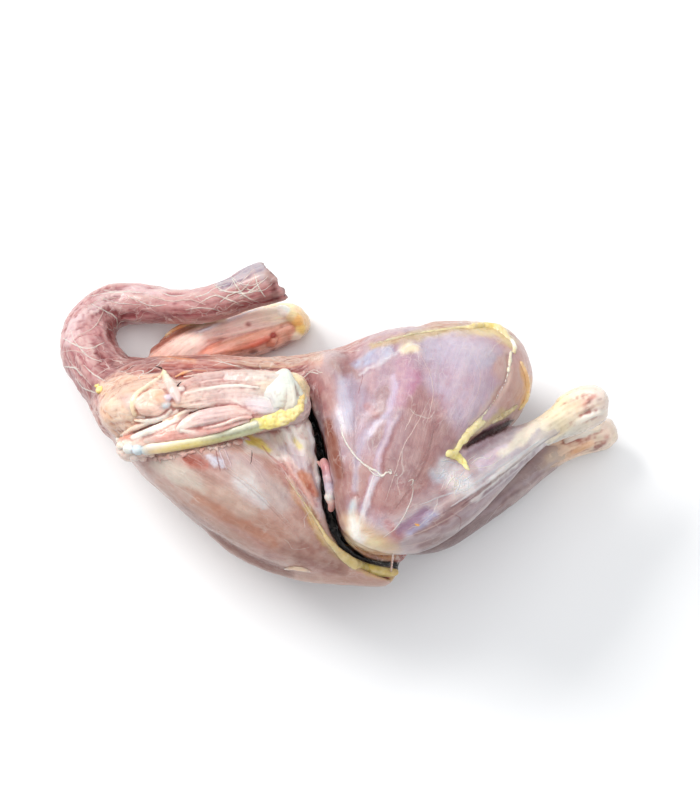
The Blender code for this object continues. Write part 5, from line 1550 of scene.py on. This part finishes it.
# ------------------------------------------------------------- the leg ends
# dark tone of painted shade for the folds of the hock
FOLD_SHADE = colour(128, 88, 74)
melt("hocks", [
    swollen("drumstick_left", (-1.4, -0.1, 0.3, 0.3), (colour(218, 212, 208), colour(230, 222, 208), colour(240, 228, 202), colour(240, 226, 208), colour(240, 226, 216)), 2.5, 0.08, slice(4, 8)),
    free_limb([(548, 440, 61, 5, 4.4), (566, 429, 60, 8.5, 5.6), (584, 421, 58.5, 10.5, 6.4), (598, 415, 58, 9, 5.6)],
              (colour(206, 204, 202), colour(226, 222, 212), colour(236, 226, 212), colour(238, 224, 214)), 2.4, 0.06),
    free_limb([(562, 402, 61, 5, 4.6), (580, 394, 60, 6.5, 6), (594, 395, 59, 8, 6.4), (599, 400, 59, 8, 6)], (colour(240, 226, 188), colour(242, 230, 204), colour(240, 226, 214), colour(240, 226, 216)), 2.5, 0.05),
    bead(600, 394, 4.0, 2.2, colour(242, 230, 222), -1.2, 1.4), bead(603, 411, 4.0, 2.2, colour(240, 228, 218), -1.6, 1.2),
    # orange middle, milky bands on both sides
    free_limb([(545, 427, 65.2, 1.6, 0.8), (556, 417, 66.6, 3.0, 1.0), (570, 409, 67, 4.2, 1.1), (582, 403, 66.6, 2.6, 0.8)], (colour(232, 208, 176), colour(240, 204, 156), colour(238, 194, 146), colour(228, 170, 136)), 1.0, 0.10),
    free_limb([(551, 412, 65.6, 2.2, 0.9), (562, 403, 66.2, 3.2, 1.0), (574, 396, 66.0, 3.4, 1.1), (586, 391.5, 65.4, 3.2, 1.1), (597, 394, 65, 3.0, 1.1), (602, 401, 63.6, 2.4, 0.9)],
              (colour(236, 224, 176), colour(240, 230, 190), colour(244, 236, 214), colour(244, 236, 220), colour(242, 230, 222), MILK), 1.0, 0.10),
    free_limb([(536, 440, 63.6, 1.6, 0.8), (552, 431, 64.4, 2.4, 1.0), (568, 424, 65.2, 3.0, 1.2), (584, 417.5, 65.6, 3.2, 1.2), (597, 412.5, 64.6, 3.0, 1.0), (604, 410, 62.8, 2.0, 0.8)],
              (colour(226, 222, 216), colour(240, 238, 226), MILK, colour(246, 240, 228), MILK, MILK), 0.8, 0.06),
    # dark fold lines of painted shade on the hock
    free_limb([(556, 421.5, 66.6, 0.6, 0.3), (572, 415, 67.2, 0.8, 0.35), (586, 410.5, 67.3, 0.7, 0.3), (598, 404, 66, 0.5, 0.3)], (FOLD_SHADE, colour(196, 150, 120), FOLD_SHADE, colour(200, 160, 140)), 0.3, 0.0),
    free_limb([(584, 405, 67.4, 0.9, 0.35), (588.5, 400.5, 67.5, 1.2, 0.4), (594.5, 396.8, 66.8, 0.9, 0.35)], (colour(190, 110, 92), colour(150, 60, 54), colour(196, 110, 100)), 0.2, 0.0),
    swollen("drumstick_right", (-1.4, -0.1, 0.3, 0.3), (colour(160, 140, 138), colour(200, 178, 164), colour(236, 212, 190), colour(244, 228, 214)), 2.0, 0.10, slice(3, 8)),
    free_limb([(580, 433, 19, 8, 5), (592, 428, 18.5, 9.5, 5), (606, 427, 17, 7, 5), (612, 437, 13, 5.5, 5)], (colour(226, 204, 186), colour(236, 216, 200), colour(242, 228, 216), colour(240, 224, 212)), 1.5, 0.06),
    bead(609, 423, 3.6, 2.0, colour(242, 230, 220), -0.8, 1.0), bead(614, 441, 3.4, 2.0, colour(240, 222, 208), -0.6, 1.0),
    free_limb([(566, 441, 22.5, 2.2, 1.2), (582, 434, 22.8, 3.2, 1.4), (598, 428, 22.2, 3.0, 1.2)], (colour(226, 214, 204), MILK, MILK), 0.9, 0.06),
    free_limb([(562, 457, 18.0, 2.2, 1.0), (576, 450, 19.6, 3.6, 1.2), (590, 443, 20.6, 3.6, 1.2)], (colour(214, 180, 152), colour(232, 186, 146), colour(238, 200, 168)), 0.9, 0.08),
    bead(598, 446, 2.4, 0.9, colour(142, 44, 38), 0.5, 0.4), bead(603, 442.5, 1.9, 0.8, colour(156, 54, 46), 0.7, 0.4), bead(594.5, 449, 1.6, 0.7, colour(128, 40, 36), 0.3, 0.4), bead(606, 437, 1.4, 0.6, colour(190, 110, 100), 0.6, 0.4),
], 0.5, BONE, seed=131, rough=0.14, size=2.6, spots=colour(240, 228, 208), spot_size=4.0, shade=0.95, depth=0.92, saturation=1.1)

# --------------------------------------------------- breast edge, rib and gap
melt("breast_fat_edge", [
    limb([(284, 475, 0.6), (298, 494, 0.9), (313, 516, 1.4), (327, 538, 2.2)], (0.25, 0.4, 0.55, 0.8), (colour(222, 200, 168), colour(222, 198, 156), colour(220, 196, 146), colour(222, 200, 144)), 0.1, 0.6, 0.0),
    limb([(325, 536, 2.0), (335, 548, 3.4), (347, 559, 5.0), (360, 567, 6.0), (376, 571, 5.6), (390, 572.5, 4.8), (399, 572, 3.0)],
         (0.7, 1.0, 1.3, 1.5, 1.5, 1.4, 0.9), (colour(222, 200, 144), colour(220, 198, 138), colour(222, 200, 132), colour(226, 206, 134),
         colour(230, 210, 126), colour(224, 204, 116), colour(204, 178, 100)), 0.1, 0.9, 0.0),
], 0.46, FAT, seed=141, rough=0.18, size=3.0, spots=colour(238, 224, 168), spot_size=3.5, depth=0.92, saturation=1.0)


melt("rib_end", [
    free_limb([(324, 462, 79, 4.0, 2.0), (327, 470, 80.3, 5.4, 2.4), (329, 480, 80.6, 5.6, 2.4)], (colour(206, 150, 152), colour(190, 130, 140), colour(196, 150, 160)), 0.6, 0.12),
    free_limb([(328, 478, 80.5, 5.2, 2.4), (330, 488, 80.2, 5.4, 2.4), (331, 496, 79.4, 4.6, 2.2)], (colour(214, 206, 216), colour(198, 186, 202), colour(224, 220, 222)), 0.5, 0.08),
    free_limb([(329, 497, 79.2, 4.8, 2.2), (332, 503, 78.4, 4.6, 2.0), (331, 509, 77.2, 3.0, 1.4)], (MILK, colour(220, 178, 172), colour(206, 140, 132)), 0.5, 0.06),
    free_limb([(318, 462, 77, 1.6, 0.9), (323, 466, 79, 2.4, 1.2), (328, 463, 79.5, 1.6, 0.9)], (BLUSH, colour(214, 168, 168), BLUSH), 0.5, 0.06),
    free_limb([(330, 430, 72, 1.6, 1.0), (330, 444, 73, 2.6, 1.6), (329, 456, 73, 2.0, 1.2)], (colour(150, 60, 48), colour(158, 50, 42), colour(150, 74, 60)), 0.8, 0.12),
    bridge((393, 554), (391, 572), 0.5, (SHELL, BLUSH, SHELL)),
], 0.46, STRIP, seed=151, rough=0.10, depth=0.8)

melt("breast_scrap", [limb([(285, 569, 1.2), (292, 567.5, 2.6), (301, 568.5, 3.0), (310, 571.5, 1.6)], (0.4, 1.2, 1.3, 0.6), (SHELL, colour(232, 206, 182), colour(236, 214, 186), SHELL), 0.5, 0.8, 0.08, every=2.0)],
     0.5, STRIP, seed=155)

# --------------------------------------------------- fat along the back and rump
melt("rump_fat", [
    limb([(368, 346, 0.5), (392, 339, 0.9), (420, 333, 1.1), (450, 329, 1.4), (472, 327, 2.2)], (0.2, 0.3, 0.35, 0.4, 0.6),
         (colour(208, 196, 166), colour(208, 196, 156), colour(202, 190, 146), colour(208, 194, 146), colour(226, 208, 148)), 0.05, 0.6, 0.0),
    limb([(470, 328, 2.8), (482, 326, 4.2), (492, 327, 5.0), (501, 331, 5.2), (508, 338, 3.0)], (0.6, 0.9, 1.1, 1.1, 0.8),
         (colour(226, 206, 138), LEMON, LEMON, BUTTER, BUTTER), 0.0, 0.9, 0.0),
    limb([(511, 340, 2.2), (515, 347, 2.2), (514, 352, 1.4)], (0.8, 0.9, 0.5), (MILK, MILK, BUTTER), 0.1, 0.8, 0.0, every=2.5),
    limb([(511, 351, 1.2), (509.5, 364, 1.7), (506, 380, 1.0), (497, 397, 0.6), (486, 412, 1.0), (474, 425, 2.8), (464, 437, 3.0)],
         (0.2, 0.3, 0.18, 0.14, 0.25, 0.6, 0.6), (colour(236, 228, 206), colour(236, 228, 196), colour(226, 210, 200), colour(224, 204, 200), colour(220, 206, 184),
         colour(224, 212, 160), colour(222, 206, 140)), 0.0, 0.9, 0.0),
    limb([(484, 422, 2.4), (474, 429, 3.6), (465, 437, 3.8), (458, 446, 3.8), (453, 453, 3.6)], (0.4, 0.9, 1.0, 0.9, 0.6), (colour(222, 208, 156), colour(226, 212, 160), colour(234, 218, 146), colour(236, 220, 140)), 0.0, 1.4, 0.0),
    limb([(448, 453, 4.0), (454, 454, 5.0), (461, 460, 4.0), (466, 466, 2.4), (470, 472, 1.0)], (0.4, 0.6, 0.6, 0.4, 0.2), (colour(240, 226, 146), colour(242, 226, 134), colour(240, 226, 140), colour(236, 224, 166)), 0.0, 1.4, 0.0, every=2.5),
    limb([(521, 363, 1.8), (525, 373, 3.0), (527, 383, 3.4), (527, 393, 3.2), (524, 403, 3.0), (519, 409, 1.8)], (0.5, 1.0, 1.3, 1.3, 1.0, 0.5),
         (colour(232, 190, 130), colour(236, 184, 116), colour(238, 188, 116), colour(240, 200, 134), colour(232, 196, 124), colour(214, 190, 116)), 0.1, 0.9, 0.0),
    limb([(516, 406, 2.2), (508, 412, 3.0), (500, 417, 2.6), (492, 423, 1.4)], (0.4, 0.5, 0.5, 0.2), (colour(190, 166, 110), colour(188, 166, 104), colour(182, 160, 100), colour(176, 146, 104)), -0.1, 0.8, 0.0, every=2.5),
], 0.5, FAT, seed=161, rough=0.22, size=2.6, spots=colour(236, 224, 172), spot_size=3.2, lumpy=(2.6, 0.45), depth=0.95, saturation=0.92)

# ------------------------------------------------- drawn threads, and creases darkened with painted shade
# the dark red of painted shade down in creases
CREASE_SHADE = colour(112, 48, 46)
STROKES = (
    # the pale squiggle and the sheets of the thigh
    ([(341, 425, 0.8), (343, 436, 1.0), (349, 447, 1.1), (358, 459, 1.0), (368, 467, 1.2), (376, 471, 1.2), (382, 476, 1.3), (387, 472, 1.1), (392, 475, 1.2), (391, 471, 0.8)], 0.44, MILK, 0.95, 1.6),
    ([(368, 468, 0.8), (375, 475, 1), (382, 477, 0.8)], 0.34, MILK, 0.8, 1.2),
    ([(416.4, 524.6, 1), (417.6, 525.2, 1.2), (418.8, 525.4, 1)], 0.6, colour(240, 186, 60), 0.95, 0.6),
    ([(413, 481, 0.8), (412, 497, 1), (405, 514, 1), (395, 529, 1), (384, 537, 0.8)], 0.28, MILK, 0.7, 0.8),
    ([(409, 481, 1), (412, 479, 1), (414, 482, 1), (411, 485, 1)], 0.24, MILK, 0.7, 0.8),
    ([(430, 398, 0.5), (418, 422, 0.8), (404, 446, 0.8), (396, 470, 0.7), (386, 500, 0.6)], 0.30, SHELL, 0.6, 0.5),
    ([(420, 352, 0.5), (432, 380, 0.8), (432, 404, 0.8), (424, 430, 0.5)], 0.28, SHELL, 0.55, 0.5),
    ([(470, 352, 0.4), (480, 370, 0.7), (478, 392, 0.7), (466, 412, 0.4)], 0.26, SHELL, 0.5, 0.4),
        ([(374, 474, 0.5), (368, 492, 1.0), (362, 512, 1.2), (358, 530, 1.1)], 0.6, colour(240, 242, 240), 0.4, 0.3),
    ([(353, 506, 0.8), (354, 518, 1.2), (356, 530, 1.1)], 0.5, MILK, 0.4, 0.3),
    ([(346, 545, 0.8), (360, 550, 1), (378, 553, 1), (400, 553, 0.7)], 0.4, colour(226, 180, 124), 0.35, 0.2),
    # a pale painted highlight on the knob at the top of the thigh
    ([(404, 350, 0.5), (408, 346, 1), (414, 344, 1), (420, 347, 0.5)], 0.6, MILK, 0.7, 0.8),
    ([(434, 430, 0.5), (428, 456, 1), (414, 484, 1), (396, 508, 0.6)], 0.7, CREASE_SHADE, 0.25, -0.8),
    ([(415, 410, 0.6), (410, 420, 1), (405, 430, 0.8)], 0.3, SHELL, 0.6, 0.6),
    ([(336, 428, 0.6), (340, 450, 1), (343, 474, 0.8)], 0.3, colour(120, 60, 50), 0.4, -0.6),
    # a dark line of painted shade in the groove beside the fat seam
    ([(467, 446, 0.8), (480, 437.5, 1.3), (497, 429, 1.3), (514, 420, 0.8)], 1.1, colour(60, 18, 16), 0.9, -2.0),
        # drumstick: a crease of painted shade, with pale lines of painted highlight beside it
    ([(462, 506, 0.6), (492, 483, 1), (524, 457, 1), (550, 438, 1), (572, 427, 0.7)], 0.8, colour(126, 88, 92), 0.5, -1.2),
    ([(452, 506, 0.6), (482, 486, 1), (512, 462, 1), (540, 440, 0.8)], 0.8, colour(240, 238, 238), 0.55, 0.8),
    ([(476, 503, 0.6), (506, 479, 1), (534, 456, 0.8)], 0.6, colour(232, 228, 230), 0.5, 0.6),
    ([(472, 463, 0.8), (478, 458, 1), (483, 457, 1), (488, 458.5, 1), (492, 455, 0.8)], 0.26, MILK, 0.9, 1.2),
    ([(470, 469, 0.6), (480, 468, 1), (492, 465, 1), (500, 460, 0.7)], 0.24, MILK, 0.8, 1.0),
    ([(466, 464, 0.6), (470, 459, 1), (476, 455, 0.6)], 0.2, MILK, 0.7, 0.8),
    ([(530, 422, 0.6), (522, 433, 1.3), (512, 447, 1.2), (502, 458, 0.6)], 1.3, colour(234, 228, 214), 0.6, 0.4),
    ([(219, 450, 1), (222, 458, 1), (226, 468, 1)], 0.35, colour(226, 210, 214), 0.9, 1.0), ([(224, 448, 1), (228, 457, 1), (231, 466, 1)], 0.3, colour(226, 206, 208), 0.9, 1.0),
    ([(216, 450, 1), (218, 460, 1), (220, 470, 1)], 0.3, colour(150, 80, 84), 0.7, -0.8),
    ([(420, 505, 0.5), (440, 497, 0.9), (470, 486, 0.9), (510, 460, 0.9), (548, 436, 0.6)], 0.5, colour(216, 220, 222), 0.5, 0.5),
    ([(428, 522, 0.5), (462, 502, 0.9), (500, 476, 0.9), (536, 449, 0.6)], 0.6, CREASE_SHADE, 0.28, -0.8),
    ([(400, 540, 0.5), (426, 530, 0.9), (452, 516, 0.9), (478, 498, 0.6)], 0.4, SHELL, 0.5, 0.4),
    ([(390, 548, 0.5), (416, 544, 0.9), (440, 536, 0.6)], 0.4, SHELL, 0.45, 0.3),
    # back
    ([(208, 360, 0.6), (222, 362, 1), (236, 366, 1), (246, 369, 0.6)], 0.34, MILK, 0.85, 0.9),
    ([(212, 366, 0.6), (224, 362, 1), (240, 361, 1), (256, 364, 0.6)], 0.3, MILK, 0.8, 0.8),
    ([(215, 357, 0.6), (228, 364, 1), (244, 366, 0.6)], 0.26, MILK, 0.8, 0.8),
    ([(150, 360, 0.6), (176, 358, 1), (200, 357, 1), (226, 355, 0.6)], 0.5, CREASE_SHADE, 0.5, -1.0),
    ([(166, 356, 0.8), (178, 358, 1), (192, 359, 0.8)], 0.8, colour(216, 140, 84), 0.7, 0.8),
    ([(175, 376, 0.6), (184, 372, 1), (194, 370, 0.8), (206, 371, 0.5)], 0.5, colour(230, 180, 140), 0.8, 0.8),
    ([(242, 364, 0.6), (262, 367, 1), (284, 366, 0.8), (306, 364, 0.5)], 0.9, colour(216, 192, 168), 0.5, 0.4),
    ([(196, 378, 0.8), (230, 368, 1.2), (262, 368, 1.2), (292, 370, 0.8)], 0.7, CREASE_SHADE, 0.55, -1.2),
    ([(306, 372, 0.8), (309, 384, 1), (305, 398, 0.8)], 0.8, CREASE_SHADE, 0.4, -1.0),
    # breast
    ([(214, 462, 0.5), (238, 480, 1), (262, 500, 1), (290, 528, 0.6)], 0.34, CREASE_SHADE, 0.18, -0.4),
    ([(216, 459, 0.5), (240, 477, 1), (264, 497, 1), (292, 526, 0.6)], 0.34, SHELL, 0.6, 0.7),
    ([(276, 460, 0.5), (290, 480, 1), (304, 506, 1), (314, 528, 0.6)], 0.3, SHELL, 0.55, 0.5),
    ([(240, 452, 0.5), (258, 470, 1), (270, 492, 0.6)], 0.3, SHELL, 0.5, 0.4),
    ([(252, 451, 0.8), (252, 457, 1), (251, 463, 0.8)], 0.3, colour(90, 40, 40), 0.8, -1.0),
    ([(262, 446, 0.8), (270, 456, 1), (282, 466, 1), (296, 480, 0.7)], 0.6, BLUSH, 0.7, 0.8),
    ([(150, 458, 0.8), (170, 470, 1), (190, 486, 0.6)], 0.3, SHELL, 0.4, 0.4),
)
for i, (path, width, tone, strength, relief) in enumerate(STROKES):
    stroke(path, width, tone, strength, relief, every=1.8)
    if i % 2 == 0:
        stroke(path, width, tone, strength * 0.7, relief, side="lower", every=2.4)
# the cobweb of sinew between thigh and drumstick
rng = np.random.default_rng(8)
for i in range(26):
    t = rng.uniform(0, 1)
    u, v = 440 + 30 * t + rng.normal(0, 5), 466 + 26 * t + rng.normal(0, 6)
    a, l = rng.uniform(0, math.pi), rng.uniform(4, 9)
    du, dv = l * math.cos(a), l * math.sin(a)
    stroke([(u - du, v - dv, 0.6), (u + rng.normal(0, 1.2), v + rng.normal(0, 1.2), 1.0), (u + du, v + dv, 0.6)], rng.uniform(0.18, 0.34),
           (MILK, colour(226, 232, 240), colour(244, 240, 226))[i % 3], rng.uniform(0.5, 0.85), 0.9, every=1.8)
# the web of fine threads on the neck
NECK_THREADS = (
    ((74, 318), (84, 308), (100, 301), (124, 297)), ((80, 300), (96, 294), (120, 291), (146, 293)), ((92, 304), (104, 310), (116, 318), (118, 330)),
    ((98, 296), (108, 300), (122, 304), (140, 304)), ((66, 346), (70, 360), (80, 372), (92, 384)), ((64, 338), (78, 346), (90, 348), (104, 342)),
    ((70, 330), (74, 342), (88, 356), (102, 362)), ((84, 366), (94, 374), (104, 380)), ((150, 296), (170, 300), (190, 300), (204, 304)),
    ((128, 296), (136, 300), (150, 306), (166, 306)), ((196, 298), (206, 294), (214, 288), (226, 284)), ((202, 302), (214, 296), (226, 298), (238, 304)),
    ((210, 290), (220, 296), (230, 298), (236, 296)), ((222, 302), (230, 296), (242, 290), (252, 280)), ((232, 280), (238, 290), (248, 298), (258, 302)),
    ((244, 286), (252, 290), (262, 290), (272, 284)), ((226, 310), (234, 304), (244, 302), (256, 306)), ((254, 274), (258, 286), (264, 296)),
    ((186, 310), (198, 308), (210, 308), (222, 312)), ((240, 296), (250, 292), (258, 284), (266, 278)), ((78, 334), (90, 330), (98, 322), (104, 312)),
    ((214, 284), (222, 290), (228, 288), (236, 280)), ((160, 292), (172, 296), (184, 295)), ((106, 290), (118, 294), (130, 290)),
    ((60, 352), (72, 350), (84, 352), (96, 348)), ((76, 378), (84, 388), (96, 392)), ((64, 366), (74, 368), (82, 376)), ((230, 276), (240, 283), (252, 285), (262, 280)),
    ((236, 290), (244, 280), (254, 270)), ((220, 290), (232, 292), (246, 294), (258, 290)),
)
for i, path in enumerate(NECK_THREADS):
    stroke([(*p, 1.0) for p in path], 0.24 + 0.08 * (i % 3), MILK if i % 4 else SHELL, 0.85, 1.3, wiggle=0.6, seed=i, every=1.8)
# seeded threads of membrane and fine vessels over the whole bird
rng = np.random.default_rng(12)
tops = W.argmax(0)
for i in range(330):
    j = int(rng.integers(0, len(P)))
    if P[j, 2] < 1.5 or opening[j] > 0.2:
        continue
    S = CHAINS[NAMES[tops[j]]][1]
    k = int(np.argmin(((S[:, :3] - P[j]) ** 2).sum(1)))
    way = S[min(k + 1, len(S) - 1)][:3] - S[max(k - 1, 0)][:3]
    way = way / np.linalg.norm(way) + rng.normal(0, 0.25, 3)
    smooth = leg[j] + breast[j] > 0.5
    if smooth and i % 3:
        continue
    kind = i % 11
    on_neck = NAMES[tops[j]] in ("neck", "trunk")
    if neck[j] > 0.5 and i % 4:
        continue
    tone, strength = ((colour(150, 60, 62), 0.5) if kind == 0 else (colour(206, 174, 120), 0.4) if kind == 1 else (MILK, 0.75 if on_neck else 0.3))
    creep(P[j], way, rng.uniform(5, 24), rng.uniform(0.14, 0.3), tone, strength, 0.9 if on_neck else 0.5, seed=300 + i)

# ---------------------------------------------------------------- the body piece
skin_piece = mesh_piece("skinless_body", P, quads, C, FIBRE, FLESH)
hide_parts("chicken")
for k in range(CHANNELS):
    layer = skin_piece.data.attributes.new(f"line{k}", "FLOAT_VECTOR", "POINT")
    layer.data.foreach_set("vector", ink.line[k].ravel())
    layer = skin_piece.data.attributes.new(f"tone{k}", "FLOAT_COLOR", "POINT")
    layer.data.foreach_set("color", ink.tone[k].ravel())
layer = skin_piece.data.attributes.new("web", "FLOAT", "POINT")
layer.data.foreach_set("value", (0.5 * neck + 0.6 * trunk + 0.22 * leg + 0.2 * breast + 0.5 * wing).astype(np.float32))


def thin_out(piece, chosen, triangles):
    """Collapses edges among the chosen points until the mesh holds that many triangles."""
    group = piece.vertex_groups.new(name="thin")
    group.add([int(i) for i in chosen], 1.0, "REPLACE")
    fewer = piece.modifiers.new("thin", "DECIMATE")
    fewer.vertex_group = group.name
    fewer.ratio = triangles / sum(len(f.vertices) - 2 for f in piece.data.polygons)
    graph = bpy.context.evaluated_depsgraph_get()
    thinned = bpy.data.meshes.new_from_object(piece.evaluated_get(graph), preserve_all_data_layers=True, depsgraph=graph)
    piece.modifiers.clear()
    piece.vertex_groups.clear()
    old, piece.data = piece.data, thinned
    bpy.data.meshes.remove(old)


# the side that it lies on needs no such fine mesh
thin_out(skin_piece, np.flatnonzero(N[:, 2] < -0.05), 196000)


# ==================================================================== camera
camera_data = bpy.data.cameras.new("camera")
camera_data.sensor_fit = "VERTICAL"
camera_data.sensor_height = 36.0
camera_data.lens = FOCUS / 800.0 * 36.0
camera_data.clip_start = 0.05
camera = bpy.data.objects.new("camera", camera_data)
bpy.context.scene.collection.objects.link(camera)
camera.location = Vector(EYE * 0.001)
camera.rotation_euler = Vector(-BACK).to_track_quat("-Z", "Y").to_euler()
bpy.context.scene.camera = camera

# ============================================================ floor and light
floor_mesh = bpy.data.meshes.new("floor")
floor_mesh.from_pydata([(-3, -3, 0), (3, -3, 0), (3, 3, 0), (-3, 3, 0)], [], [(0, 1, 2, 3)])
floor = bpy.data.objects.new("floor", floor_mesh)
bpy.context.scene.collection.objects.link(floor)
floor_nodes = Nodes("pale_floor")
floor_nodes.shader.inputs["Base Color"].default_value = (0.86, 0.86, 0.86, 1)
floor_nodes.shader.inputs["Roughness"].default_value = 0.9
floor_mesh.materials.append(floor_nodes.material)


def area_light(name, place, size, watts, tone=(1, 1, 1)):
    data = bpy.data.lights.new(name, "AREA")
    data.shape = "RECTANGLE"
    data.size, data.size_y = size
    data.energy = watts
    data.color = tone
    made = bpy.data.objects.new(name, data)
    made.location = place
    made.rotation_euler = (Vector((0, 0, 0.04)) - Vector(place)).to_track_quat("-Z", "Y").to_euler()
    bpy.context.scene.collection.objects.link(made)


area_light("key", (-0.85, 0.72, 1.0), (0.65, 0.5), 17.5, (1.0, 0.99, 0.97))
area_light("fill", (0.9, -0.5, 0.9), (1.0, 0.8), 2.2, (0.94, 0.97, 1.0))
area_light("top", (0.05, 0.15, 1.5), (1.3, 1.3), 12.8, (0.98, 0.99, 1.0))
world = bpy.data.worlds.new("studio")
world.use_nodes = True
world.node_tree.nodes["Background"].inputs["Color"].default_value = (0.93, 0.96, 1.0, 1)
world.node_tree.nodes["Background"].inputs["Strength"].default_value = 0.47
bpy.context.scene.world = world
bpy.context.scene.view_settings.view_transform = "Standard"
bpy.context.scene.view_settings.look = "None"
